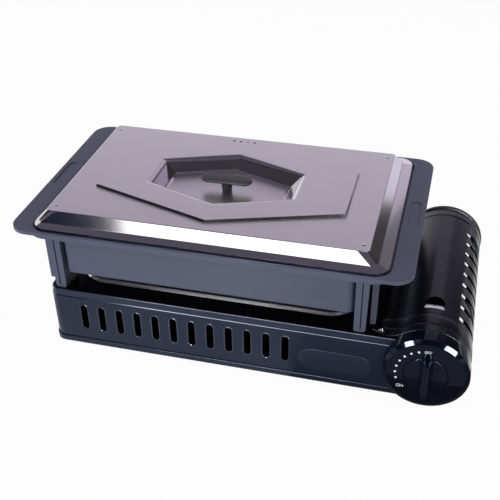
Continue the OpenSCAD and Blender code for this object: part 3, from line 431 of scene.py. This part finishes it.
def hood_path(way, foot=-60.0):
    """Points and outward directions in x and z along the hood: round the ring, then up the hollow fillet.
    way is the length in millimetres from the ring's foot on the right, which is at an angle in degrees."""
    start = radians(foot)
    ring_length = ring_r * (fillet_turn - start)
    angle = start + np.minimum(way, ring_length) / ring_r
    bend = fillet_turn - np.pi - np.maximum(way - ring_length, 0) / fillet_r
    on_ring = way <= ring_length
    out = np.where(on_ring, [np.cos(angle), np.sin(angle)], [-np.cos(bend), -np.sin(bend)]).T
    ring_point = bay_axis + ring_r * np.stack([np.cos(angle), np.sin(angle)], axis=-1)
    fillet_point = fillet_middle + fillet_r * np.stack([np.cos(bend), np.sin(bend)], axis=-1)
    return np.where(on_ring[:, None], ring_point, fillet_point), out


def belt(name, front, rear, proud, end, round_end, material, body, foot=-60.0):
    """A raised strip along the hood: its section is a flat top with soft shoulders, and its left end is round
    where the half width follows sqrt(1 - t^2)."""
    way = np.concatenate([np.linspace(0, end - round_end, 90),
                          end - round_end * (1 - np.sin(np.linspace(0, np.pi / 2, 18)[1:]))])
    half = (rear - front) / 2
    close = np.sqrt(np.clip(1 - (np.maximum(way - end + round_end, 0) / round_end) ** 2, 0, 1))
    line, out = hood_path(way, foot)
    across = np.array([-1, -0.97, -0.92, -0.86, 0.86, 0.92, 0.97, 1])
    lift = np.array([-0.3, 0.45, 0.85, 1, 1, 0.85, 0.45, -0.3]) * proud
    y = (front + rear) / 2 + across * half * np.maximum(close, 0.001)[:, None]
    place = line[:, None, :] + out[:, None, :] * lift[:, None]
    surface(name, [np.stack([place[..., 0], y, place[..., 1]], axis=-1)], body, material)


belt("hood_belt", hood_high[1] - 17.0, hood_high[1] - 0.8, proud=0.45, end=168.0, round_end=8.0,
     material=bay_paint, body="base")
belt("hood_lip", hood_low[1] + 0.3, hood_low[1] + 2.6, proud=0.4, end=176.0, round_end=1.0,
     material=bay_paint, body="base")


# Dial: a round moulded cap of glossy navy plastic with a flat bevel round its face, pushed onto the bay's
# front. Printed dots run round its left side from the off mark to the on mark.
def revolve(profile, middle, sides=128):
    """A profile of radius and y carried round an axis along y through the middle in x and z."""
    turn = np.linspace(0, 2 * np.pi, sides, endpoint=False)
    radius, y = profile[:, :1], profile[:, 1:]
    return np.stack([middle[0] + radius * np.cos(turn), np.repeat(y, sides, axis=1),
                     middle[1] + radius * np.sin(turn)], axis=-1)


dial_low, dial_high = box_mm("dial_cap")
dial_r = (dial_high[0] - dial_low[0]) / 2
dial_face, dial_back = dial_low[1], dial_high[1]
dial_bevel, dial_fall, knob_hole, dial_wall, dial_web = 4.5, 3.0, 22.5, 2.0, 2.5
dial_inside = dial_r - dial_wall
dial_plastic = finish("dial plastic", (0.002, 0.003, 0.006), 0.07, specular=0.34, grain=1500, depth=0.004,
                      tint=(0.50, 0.61, 1.0))
dial_profile = np.array([[dial_inside, dial_back], [dial_r, dial_back], [dial_r, dial_face + dial_fall],
                         [dial_r - dial_bevel, dial_face], [knob_hole, dial_face],
                         [knob_hole, dial_face + dial_web], [dial_r - dial_bevel - 1, dial_face + dial_web],
                         [dial_inside, dial_face + dial_fall + dial_wall], [dial_inside, dial_back]])
dial_cuts = [0, 0.4, 0.35, 0.35, 0.4, 0, 0, 0, 0]
dial = surface("dial_cap_moulding", [revolve(soft_corners(dial_profile, dial_cuts), bay_axis)], "base",
               dial_plastic, crease=25)
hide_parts("dial_cap")
mark_print = finish("mark print", (0.78, 0.80, 0.84), 0.5, grain=2000, depth=0.03, drift=0.03)
mark_rise = 0.12


def dial_stroke(start, end, width):
    """A printed stroke on the dial with round ends: rows from its spine below the face to its outline, up its
    edge and in to its spine again, each row a share of the half width at a share of the rise."""
    start, end = np.array(start, float), np.array(end, float)
    ahead = (end - start) / max(np.linalg.norm(end - start), 1e-6)
    aside = np.array([-ahead[1], ahead[0]])
    turn = np.concatenate([np.linspace(-90, 90, 10), np.linspace(90, 270, 10)]) * np.pi / 180
    hub = np.where((np.arange(20) < 10)[:, None], end, start)
    round_off = np.cos(turn)[:, None] * ahead + np.sin(turn)[:, None] * aside
    share = np.array([0.0, 1.0, 1.0, 0.9, 0.0])
    lift = np.array([-0.2, -0.2, 0.7, 1.0, 1.0]) * mark_rise
    flat = hub + round_off * width / 2 * share[:, None, None]
    y = np.repeat(dial_face - lift[:, None], 20, axis=1)
    return np.stack([bay_axis[0] + flat[..., 0], y, bay_axis[1] + flat[..., 1]], axis=-1)


def around_dial(radius, angle):
    """Point on the dial's face at a radius and an angle in degrees from the right."""
    return radius * np.array([np.cos(radians(angle)), np.sin(radians(angle))])


dot_r, dot_ring, dot_first, dot_last, dot_count = 1.25, 29.7, 106, 197, 7
dot_shift, dot_stretch = np.array([-0.9, 0.3]), np.array([0.001, 0])
marks = []
for angle in np.linspace(dot_first, dot_last, dot_count):
    spot = around_dial(dot_ring, angle) + dot_shift
    marks.append(dial_stroke(spot, spot + dot_stretch, 2 * dot_r))
letter_h, word_w, stroke_w, letter_gap = 2.9, 7.4, 0.5, 0.8
letter_strokes = {"O": [((0, 0), (0, 1)), ((0, 1), (1, 1)), ((1, 1), (1, 0)), ((1, 0), (0, 0))],
                  "F": [((0, 0), (0, 1)), ((0, 1), (1, 1)), ((0, 0.52), (0.85, 0.52))],
                  "N": [((0, 0), (0, 1)), ((0, 1), (1, 0)), ((1, 0), (1, 1))]}
for word, spot in (("OFF", around_dial(30.0, 90)), ("ON", around_dial(30.6, 217))):
    letter_w = word_w / len(word) - letter_gap
    for i, letter in enumerate(word):
        corner = spot + [(i / len(word) - 0.5) * word_w + letter_gap / 2, -letter_h / 2]
        for start, end in letter_strokes[letter]:
            marks.append(dial_stroke(corner + np.array(start) * [letter_w, letter_h],
                                     corner + np.array(end) * [letter_w, letter_h], stroke_w))
surface("dial_marks", marks, "base", mark_print)

# Control knob: a moulded disc that lies flush in the dial with a tapered grip bar across it, pressed onto the
# valve's shaft. It is the dial's plastic with a little less gloss.
knob_plastic = finish("knob plastic", (0.003, 0.004, 0.008), 0.16, specular=0.36, grain=1500, depth=0.006,
                      tint=(0.46, 0.58, 1.0))
knob_low, knob_high = box_mm("control_knob")
bar_front, hub_back = knob_low[1], knob_high[1]
knob_r, hub_r, bore_r = 22.0, 7.0, 3.2
disc_face, disc_back, bore_end = dial_face - 0.4, dial_face + 3.5, dial_face + 3.0
disc_profile = np.array([[0, disc_face], [knob_r, disc_face], [knob_r, disc_back], [hub_r, disc_back],
                         [hub_r, hub_back], [bore_r, hub_back], [bore_r, bore_end], [0, bore_end]])
disc = surface("knob_disc", [revolve(soft_corners(disc_profile, [0, 0.7, 0.3, 0, 0, 0, 0, 0]), bay_axis)],
               "knob", knob_plastic)
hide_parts("control_knob")
bar_foot, bar_top, bar_spine = (14.0, 43.4), (6.4, 42.6), (0.2, 36.0)
bar_points = np.array([[*bar_foot, disc_face + 0.6], [*bar_foot, disc_face], [*bar_top, bar_front],
                       [*bar_spine, bar_front]])
bar_profile = soft_corners(bar_points, [0, 0, 0.8, 0])
bar_rows = np.stack([stadium(length, width) for width, length, y in bar_profile])
bar_y = np.broadcast_to(bar_profile[:, 2:], bar_rows.shape[:2])
bar_grid = np.stack([bay_axis[0] - bar_rows[..., 1], bar_y, bay_axis[1] + bar_rows[..., 0]], axis=-1)
surface("knob_grip_bar", [bar_grid], "knob", knob_plastic)
recolour("valve_shaft", zinc)

# Rear cap: a moulded disc that closes the bay's back, with a raised rim, a groove beside the cover and a
# spigot inside the trough. Two screws in counterbores hold it.
cap_low, cap_high = box_mm("rear_cap")
cap_r = (cap_high[0] - cap_low[0]) / 2
cap_back = cap_high[1]
cap_plastic = finish("cap plastic", (0.012, 0.0125, 0.017), 0.40, specular=0.42, grain=1300, depth=0.02)
dish_r, lip_r, spigot_r, groove_r = 37.0, 38.4, 39.0, cap_r - 1.6
dish_floor, web_front, rim_front, groove_front = cap_back - np.array([1.0, 3.0, 4.6, 7.9])
cap_profile = np.array([[0, dish_floor], [dish_r, dish_floor], [lip_r, cap_back], [cap_r, cap_back],
                        [cap_r, rim_front], [groove_r, rim_front - 0.6], [groove_r, groove_front],
                        [spigot_r, groove_front], [spigot_r, cap_low[1]], [dish_r, cap_low[1]],
                        [dish_r, web_front], [0, web_front]])
cap_cuts = [0, 0.8, 0.8, 1.0, 0.5, 0, 0, 0, 0.5, 0.5, 0, 0]
cap = surface("rear_cap_moulding", [revolve(soft_corners(cap_profile, cap_cuts), bay_axis)], "base",
              cap_plastic, crease=30)
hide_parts("rear_cap")
fit_screws("rear_cap_screws", (0, 1, 0), 2, 1, zinc)

# Cover: a hinged sheet over the cartridge with a row of slots on its right and a sight window, in the same
# satin paint, with a bright stiffener inside. Two pins carry it on leaves welded to the trough.
finished_copy("cartridge_cover", 0.35, 2, bay_paint)
stiffener_plate = finish("stiffener plate", (0.88, 0.88, 0.90), 0.55, grain=1500, drift=0.02)
finished_copy("cover_stiffener", 0.2, 1, stiffener_plate)
finished_copy("hinge_leaves", 0.3, 2, bay_paint)
recolour("hinge_pins", zinc)
cover_back = box_mm("cartridge_cover")[1][1]
belt("cover_band", cover_back - 13.0, cover_back - 5.4, proud=0.3, end=140.0, round_end=1.0,
     material=bay_paint, body="cover", foot=-30.0)

# Pan: cast aluminium with two wings, a seat for the lid, a leg and a lug at each corner, under a slate
# non-stick coat with a fine eggshell grain.
pan_coat = finish("pan coat", (0.060, 0.069, 0.118), 0.44, specular=0.4, drift=0.05, grain=1300, depth=0.10)
finished_copy("pan", 0.9, 3, pan_coat)

# Lid: one pressing of satin stainless steel: an upright rim, a narrow slope, a bevel, a flat with a raised
# hexagon and a deep hexagonal recess for the handle, with four small vents at the back and a pip at each
# corner.
lid_low, lid_high = box_mm("lid_shell")
lid_l, lid_d = (lid_high - lid_low)[:2]
lid_seat = lid_low[2]
rim_h, slope_h, flat_h, hex_h, floor_h = 6.0, 9.3, 19.3, 22.2, 6.8
rim_r, slope_in, flat_in, slope_corner, flat_corner = 16.0, 14.0, 34.0, 7.0, 2.0
crown_share, floor_share, flat_shift, sheet_t = 0.986, 0.835, 4.3, 1.2
recess_middle = sum(box_mm("lid_handle"))[:2] / 2
rim_middle = (lid_low + lid_high)[:2] / 2 - recess_middle
top_middle = rim_middle - [flat_shift, 0.0]


def cornered(length, depth, corner):
    """Corners of a rectangle with its corners cut off."""
    a, b = length / 2, depth / 2
    return np.array([(a, -b + corner), (a, b - corner), (a - corner, b), (-a + corner, b), (-a, b - corner),
                     (-a, -b + corner), (-a + corner, -b), (a - corner, -b)])


def hexagon(length, side, depth):
    """Corners of a hexagon with upright sides at its ends and a point at its front and back."""
    a, s, b = length / 2, side / 2, depth / 2
    return np.array([(a, -s), (a, s), (0, b), (-a, s), (-a, -s), (0, -b)])


def polygon_reach(turn, corners):
    """Distance from the middle to a convex polygon: the least, over its edges, of offset over cosine."""
    edge = np.roll(corners, -1, axis=0) - corners
    normal = np.stack([edge[:, 1], -edge[:, 0]], axis=-1) / np.linalg.norm(edge, axis=1, keepdims=True)
    offset = (normal * corners).sum(axis=1)
    facing = np.stack([np.cos(turn), np.sin(turn)], axis=-1) @ normal.T
    return np.where(facing > 1e-6, offset / np.maximum(facing, 1e-6), np.inf).min(axis=1)


raised_hexagon = hexagon(281.0, 90.5, 181.0) + top_middle
recess_hexagon = hexagon(163.0, 52.0, 108.0)
outlines = {"rim": rounded_loop(lid_l, lid_d, rim_r, 16) + rim_middle,
            "slope": cornered(lid_l - slope_in, lid_d - slope_in, slope_corner) + top_middle,
            "flat": cornered(lid_l - flat_in, lid_d - flat_in, flat_corner) + top_middle,
            "foot": raised_hexagon, "crown": crown_share * raised_hexagon,
            "lip": recess_hexagon, "floor": floor_share * recess_hexagon}
corner_turns = np.concatenate([np.arctan2(shape[:, 1], shape[:, 0]) for shape in outlines.values()])
near_corner = np.array([-0.30, -0.10, 0, 0.10, 0.30]) * np.pi / 180
even_turns = np.linspace(-np.pi, np.pi, 180, endpoint=False)
turn = np.concatenate([even_turns, (corner_turns[:, None] + near_corner).ravel()])
turn = np.unique(np.round(turn % (2 * np.pi), 4))
reach = {name: polygon_reach(turn, shape) for name, shape in outlines.items()}
lid_rows = [(reach["rim"], 0), (reach["rim"], rim_h), (reach["slope"], slope_h), (reach["flat"], flat_h),
            (reach["foot"], flat_h), (reach["crown"], hex_h), (reach["lip"], hex_h), (reach["floor"], floor_h),
            (reach["floor"] * 0.5, floor_h), (reach["floor"] * 0, floor_h)]
lid_cuts = [0, 0, 0.6, 0.8, 0.2, 0.25, 5.0, 3.0, 0, 0]
lid_points = np.stack([np.stack([recess_middle[0] + r * np.cos(turn), recess_middle[1] + r * np.sin(turn),
                                 np.full(len(turn), lid_seat + z)], axis=-1) for r, z in lid_rows])
lid_steel = finish("lid steel", (0.66, 0.64, 0.67), 0.10, metallic=1.0, drift=0.015, grain=1100, depth=0.006,
                   spread=0.2)
lid_satin = finish("lid satin", (0.66, 0.64, 0.67), 0.34, metallic=1.0, drift=0.015, grain=1100, spread=0.1)
lid = surface("lid_pressing", [soft_corners(lid_points, lid_cuts)], "lid", lid_steel, crease=60,
              solid=False)
sheet = lid.modifiers.new("sheet", "SOLIDIFY")
sheet.thickness = sheet_t * MM
sheet.offset = -1.0
drill = bmesh.new()
vent_count, vent_r, vent_pitch, vent_first, vent_in, drill_l = 4, 1.6, 8.4, -2.3, 26.5, 30.0
for i in range(vent_count):
    spot = recess_middle + top_middle + [(i + vent_first) * vent_pitch, lid_d / 2 - vent_in]
    place = Matrix.Translation(Vector((*spot, lid_seat + flat_h)) * MM)
    bmesh.ops.create_cone(drill, cap_ends=True, segments=24, radius1=vent_r * MM, radius2=vent_r * MM,
                          depth=drill_l * MM, matrix=place)
drill_mesh = bpy.data.meshes.new("vent drill")
drill.to_mesh(drill_mesh)
drill.free()
drill_bit = bpy.data.objects.new("vent drill", drill_mesh)
bpy.context.scene.collection.objects.link(drill_bit)
vents = lid.modifiers.new("vents", "BOOLEAN")
vents.object = drill_bit
pressed = bpy.data.meshes.new_from_object(lid.evaluated_get(bpy.context.evaluated_depsgraph_get()))
lid.modifiers.clear()
lid.data = pressed
pressed.shade_smooth()
press_crease, level_limit = radians(35), 0.985
pressed.set_sharp_from_angle(angle=press_crease)
pressed.materials.append(lid_satin)
upward = np.zeros((len(pressed.polygons), 3))
pressed.polygons.foreach_get("normal", upward.ravel())
pressed.polygons.foreach_set("material_index", (abs(upward[:, 2]) > level_limit).astype(np.int32))
lid.modifiers.new("even shading", "WEIGHTED_NORMAL").keep_sharp = True
bpy.data.objects.remove(drill_bit)
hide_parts("lid_shell")
pip_turn = np.linspace(0, 2 * np.pi, 24, endpoint=False)
pip_r, pip_h, pip_fall, pip_in_x, pip_in_y = 2.4, 0.5, 0.6, 24.0, 28.0
pip_reach = np.linspace(pip_r, 0, 8)[:, None]
pip_dome = np.stack([pip_reach * np.cos(pip_turn), pip_reach * np.sin(pip_turn),
                     pip_h - pip_fall * (pip_reach / pip_r) ** 2 + 0 * pip_turn], axis=-1)
pip_spots = [recess_middle + top_middle + [x * (lid_l / 2 - pip_in_x), y * (lid_d / 2 - pip_in_y)]
             for x in (-1, 1) for y in (-1, 1)]
pips = [pip_dome + [*spot, lid_seat + flat_h] for spot in pip_spots]
surface("lid_pips", pips, "lid", lid_steel, solid=False)

# Handle: a moulded T of charcoal plastic with a fine spark-eroded texture, an oval top on a tapering stem,
# held through the lid by a screw and a washer.
handle_low, handle_high = box_mm("lid_handle")
handle_middle = (handle_low + handle_high)[:2] / 2
handle_l, handle_w = (handle_high - handle_low)[:2]
handle_plastic = finish("handle plastic", (0.037, 0.036, 0.044), 0.50, grain=1500, depth=0.30, drift=0.1)
top_t, spine_in = 4.5, 9.0
top_points = np.array([[spine_in, -top_t], [0.5, -top_t], [0.0, -3.0], [0.0, -2.0], [1.6, -0.35],
                       [spine_in, 0.0]])
top_profile = soft_corners(top_points, [0, 0.8, 0.8, 1.2, 1.4, 0])
top_rows = [stadium(handle_l - 2 * inset, handle_w - 2 * inset) + handle_middle for inset in top_profile[:, 0]]
top_grid = np.stack([np.column_stack([row, np.full(len(row), handle_high[2] + drop)])
                     for row, drop in zip(top_rows, top_profile[:, 1])])
stem_h = 12.2
stem_profile = np.array([[0.0, 0.0, 0.0], [11.0, 9.6, 0.0], [11.4, 9.8, 3.0], [12.6, 10.4, 8.0],
                         [15.0, 11.5, stem_h], [0.0, 0.0, stem_h]])
stem_turn = np.linspace(0, 2 * np.pi, 48, endpoint=False)
stem_grid = np.stack([np.stack([handle_middle[0] + wide / 2 * np.cos(stem_turn),
                                handle_middle[1] + deep / 2 * np.sin(stem_turn),
                                np.full(len(stem_turn), handle_low[2] + up)], axis=-1)
                      for wide, deep, up in stem_profile])
handle = surface("handle_moulding", [top_grid, stem_grid], "lid", handle_plastic)
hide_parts("lid_handle")
recolour("handle_washer", zinc)
fit_screws("handle_screw", (0, 0, -1), 1, 1, zinc, head=4.2)

# Room: a white floor and background, soft panels before and over the object, and cards that only mirrored
# rays see, for what the polished lid and the dial reflect.
world = bpy.data.worlds.new("studio")
bpy.context.scene.world = world
world.use_nodes = True
nodes, links = world.node_tree.nodes, world.node_tree.links
nodes.clear()


def background_rays(nodes, links):
    """One for the rays that see the background: from the camera, or after a mirror or glass."""
    rays = nodes.new("ShaderNodeLightPath")
    seen = nodes.new("ShaderNodeMath")
    seen.operation = "MAXIMUM"
    through = nodes.new("ShaderNodeMath")
    through.operation = "MAXIMUM"
    links.new(rays.outputs["Is Camera Ray"], seen.inputs[0])
    links.new(rays.outputs["Is Glossy Ray"], seen.inputs[1])
    links.new(seen.outputs[0], through.inputs[0])
    links.new(rays.outputs["Is Transmission Ray"], through.inputs[1])
    return through.outputs[0]


out = nodes.new("ShaderNodeOutputWorld")
mix = nodes.new("ShaderNodeMixShader")
fill = nodes.new("ShaderNodeBackground")
fill.inputs["Color"].default_value = (1, 1, 1, 1)
fill.inputs["Strength"].default_value = 0.32
white = nodes.new("ShaderNodeBackground")
white.inputs["Color"].default_value = (1, 1, 1, 1)
links.new(background_rays(nodes, links), mix.inputs["Fac"])
links.new(fill.outputs[0], mix.inputs[1])
links.new(white.outputs[0], mix.inputs[2])
links.new(mix.outputs[0], out.inputs["Surface"])

floor = bpy.data.meshes.new("floor")
floor.from_pydata([(-6, -6, 0), (6, -6, 0), (6, 6, 0), (-6, 6, 0)], [], [(0, 1, 2, 3)])
ground = bpy.data.objects.new("floor", floor)
bpy.context.scene.collection.objects.link(ground)
paper = bpy.data.materials.new("white paper")
paper.use_nodes = True
nodes, links = paper.node_tree.nodes, paper.node_tree.links
nodes.clear()
out = nodes.new("ShaderNodeOutputMaterial")
mix = nodes.new("ShaderNodeMixShader")
matt = nodes.new("ShaderNodeBsdfDiffuse")
matt.inputs["Color"].default_value = (0.9, 0.9, 0.9, 1)
glow = nodes.new("ShaderNodeEmission")
share = nodes.new("ShaderNodeMath")
share.operation = "MULTIPLY"
share.inputs[1].default_value = 0.95
links.new(background_rays(nodes, links), share.inputs[0])
links.new(share.outputs[0], mix.inputs["Fac"])
links.new(matt.outputs[0], mix.inputs[1])
links.new(glow.outputs[0], mix.inputs[2])
links.new(mix.outputs[0], out.inputs["Surface"])
floor.materials.append(paper)


def glossy_card(name, corners, colour, strength=1.0, high=None):
    """A flat card at four corners in metres that only mirrored rays see. Its colour may change with height,
    from one colour at its lower edge to another at its upper edge."""
    mesh = bpy.data.meshes.new(name)
    mesh.from_pydata(corners, [], [(0, 1, 2, 3)])
    card = bpy.data.objects.new(name, mesh)
    bpy.context.scene.collection.objects.link(card)
    material = bpy.data.materials.new(name)
    material.use_nodes = True
    tree = material.node_tree
    tree.nodes.clear()
    shine = tree.nodes.new("ShaderNodeEmission")
    shine.inputs["Color"].default_value = (*colour, 1)
    shine.inputs["Strength"].default_value = strength
    if high:
        place = tree.nodes.new("ShaderNodeTexCoord")
        split = tree.nodes.new("ShaderNodeSeparateXYZ")
        climb = tree.nodes.new("ShaderNodeMapRange")
        climb.inputs["From Min"].default_value = corners[0][2]
        climb.inputs["From Max"].default_value = corners[2][2]
        ramp = tree.nodes.new("ShaderNodeValToRGB")
        ramp.color_ramp.elements[0].color = (*colour, 1)
        ramp.color_ramp.elements[1].color = (*high, 1)
        tree.links.new(place.outputs["Object"], split.inputs[0])
        tree.links.new(split.outputs["Z"], climb.inputs["Value"])
        tree.links.new(climb.outputs["Result"], ramp.inputs["Fac"])
        tree.links.new(ramp.outputs["Color"], shine.inputs["Color"])
    end = tree.nodes.new("ShaderNodeOutputMaterial")
    tree.links.new(shine.outputs[0], end.inputs["Surface"])
    mesh.materials.append(material)
    card.visible_camera = False
    card.visible_diffuse = False
    card.visible_transmission = False
    card.visible_volume_scatter = False
    card.visible_shadow = False


eye = Vector((0.20376, -0.78746, 0.64042))


def upright(x, y, z):
    """Corners of a card across the room: x and z run from one value to another, at one y."""
    return [(x[0], y, z[0]), (x[1], y, z[0]), (x[1], y, z[1]), (x[0], y, z[1])]


def level(x, y, z):
    """Corners of a level card: x and y run from one value to another, at one height."""
    return [(x[0], y[0], z), (x[1], y[0], z), (x[1], y[1], z), (x[0], y[1], z)]


def bevel_card(name, first, last, strength, distance=0.45, half_height=0.055):
    """A card where the dial's bevel mirrors the eye between two angles: r = d - 2 (d . n) n at each."""
    slant = np.arctan2(dial_fall, dial_bevel)
    bevel_r = dial_r - 2.2
    hub = Vector((bay_axis[0], dial_face + dial_fall / 2, bay_axis[1]))
    hits = []
    for angle in (radians(first), radians(last)):
        out = Vector((np.cos(angle), 0, np.sin(angle)))
        spot = (hub + out * bevel_r) * MM
        ray = (spot - eye).normalized().reflect(out * np.sin(slant) - Vector((0, np.cos(slant), 0)))
        hits.append(spot + ray * distance)
    ahead = (hits[0] + hits[1]) / 2 - spot
    tall = (hits[1] - hits[0]).cross(ahead).normalized() * half_height
    glossy_card(name, [hits[0] - tall, hits[1] - tall, hits[1] + tall, hits[0] + tall], (1, 1, 1), strength)


mauve, dusk, slate = (0.72, 0.655, 0.765), (0.05, 0.045, 0.05), (0.50, 0.435, 0.555)
back_y, front_y, left_x, right_x, corner_x = 2.2, -2.2, -3.0, 3.0, 1.45
ceiling_z, flag_z, lamp_z, sheet_z, mat_z = 2.6, 1.82, 1.8, 0.003, 0.004
white_card = (1, 1, 1)
glossy_card("back wall", upright((left_x, 0.75), back_y, (1.0, 1.9)), mauve, high=slate)
glossy_card("back wall top", upright((left_x, 0.75), back_y, (1.9, 3.2)), slate)
glossy_card("back right", upright((0.75, corner_x), back_y, (0.95, 3.2)), (0.17, 0.155, 0.185))
glossy_card("mid back right", upright((1.0, corner_x), back_y, (0.5, 0.95)), (0.42, 0.35, 0.49))
glossy_card("low back right", upright((0.2, corner_x), back_y + 0.01, (0.0, 0.5)), (0.86, 0.82, 0.95))
glossy_card("right wall", [(corner_x, back_y, 0.2), (right_x, -1.0, 0.2), (right_x, -1.0, ceiling_z),
                           (corner_x, back_y, ceiling_z)], dusk)
glossy_card("ceiling", level((left_x, right_x), (front_y, back_y), ceiling_z), (0.11, 0.10, 0.13))
glossy_card("front wall", upright((-4.5, right_x), front_y, (0, ceiling_z)), (0.005, 0.005, 0.006),
            high=(0.085, 0.080, 0.095))
glossy_card("low left", level((left_x, -0.23), (-0.2, back_y), sheet_z), (0.84, 0.74, 0.88))
# Painted shadow: these two cards darken the floor before the dial for mirrored rays only, standing in for the
# shade the grill casts there.
glossy_card("painted floor shade before the dial", level((0.05, 0.6), (-0.7, -0.13), sheet_z), (0.45, 0.45, 0.47))
glossy_card("painted shadow by the dial", level((0.06, 0.42), (-0.165, -0.05), mat_z), (0.12, 0.12, 0.14))
glossy_card("floor before the rim", level((-0.35, 0.25), (-0.34, -0.296), mat_z), (0.10, 0.10, 0.11))
glossy_card("far left flag", level((left_x, -1.3), (-1.9, -0.7), flag_z), (0.040, 0.038, 0.045))
glossy_card("left flag", level((-1.3, -0.90), (-1.9, -0.7), flag_z), (0.012, 0.012, 0.035))
glossy_card("right floor", level((0.33, right_x), (-0.3, back_y), mat_z), (0.28, 0.28, 0.32))
glossy_card("front softbox", level((-0.90, 0.1), (-1.45, -0.8), lamp_z), white_card, 2.2)
glossy_card("edge light", level((-0.92, -0.27), (-1.8, -1.46), lamp_z), white_card, 1.6)
glossy_card("low window", upright((-1.0, -0.40), front_y + 0.01, (1.05, 1.6)), white_card, 1.2)
bevel_card("right strip", 50.0, 68.0, 80.0)
bevel_card("left strip", 112.0, 124.0, 80.0)


def soft_panel(name, place, target, size, power):
    """A rectangular soft light at a place, turned to a target, that mirrored rays don't see."""
    lamp = bpy.data.lights.new(name, "AREA")
    lamp.shape = "RECTANGLE"
    lamp.size, lamp.size_y = size
    lamp.energy = power
    panel = bpy.data.objects.new(name, lamp)
    panel.location = place
    panel.rotation_euler = (Vector(target) - Vector(place)).to_track_quat("-Z", "Y").to_euler()
    panel.visible_glossy = False
    bpy.context.scene.collection.objects.link(panel)


soft_panel("front panel", (-2.1, -1.5, 0.65), (0, 0, 0.08), (1.8, 1.2), 60)
soft_panel("top panel", (-0.3, -1.15, 1.75), (0, 0, 0.1), (1.5, 0.9), 8)
soft_panel("right panel", (1.15, 0.02, 0.42), (0.23, 0.02, 0.08), (0.3, 0.3), 7)

# Camera: at the photograph's place, fitted to the edges of the base, pan and lid, with a 61.7 mm lens on a
# 36 mm square frame.
focal_px, frame_px, sensor_mm = 857.2, 500, 36.0
yaw, pitch, roll = radians(15.295), radians(34.295), radians(-1.12)
ahead = np.array([-np.sin(yaw) * np.cos(pitch), np.cos(yaw) * np.cos(pitch), -np.sin(pitch)])
right = np.array([np.cos(yaw), np.sin(yaw), 0.0])
up = np.cross(right, ahead)
side = np.cos(roll) * right + np.sin(roll) * up
top = -np.sin(roll) * right + np.cos(roll) * up
lens = bpy.data.cameras.new("camera")
lens.sensor_width = sensor_mm
lens.lens = focal_px / frame_px * sensor_mm
lens.clip_end = 50
camera = bpy.data.objects.new("camera", lens)
basis = Matrix((Vector(side), Vector(top), Vector(-ahead))).transposed().to_4x4()
camera.matrix_world = Matrix.Translation(eye) @ basis
bpy.context.scene.collection.objects.link(camera)
bpy.context.scene.camera = camera
bpy.context.scene.view_settings.view_transform = "Standard"
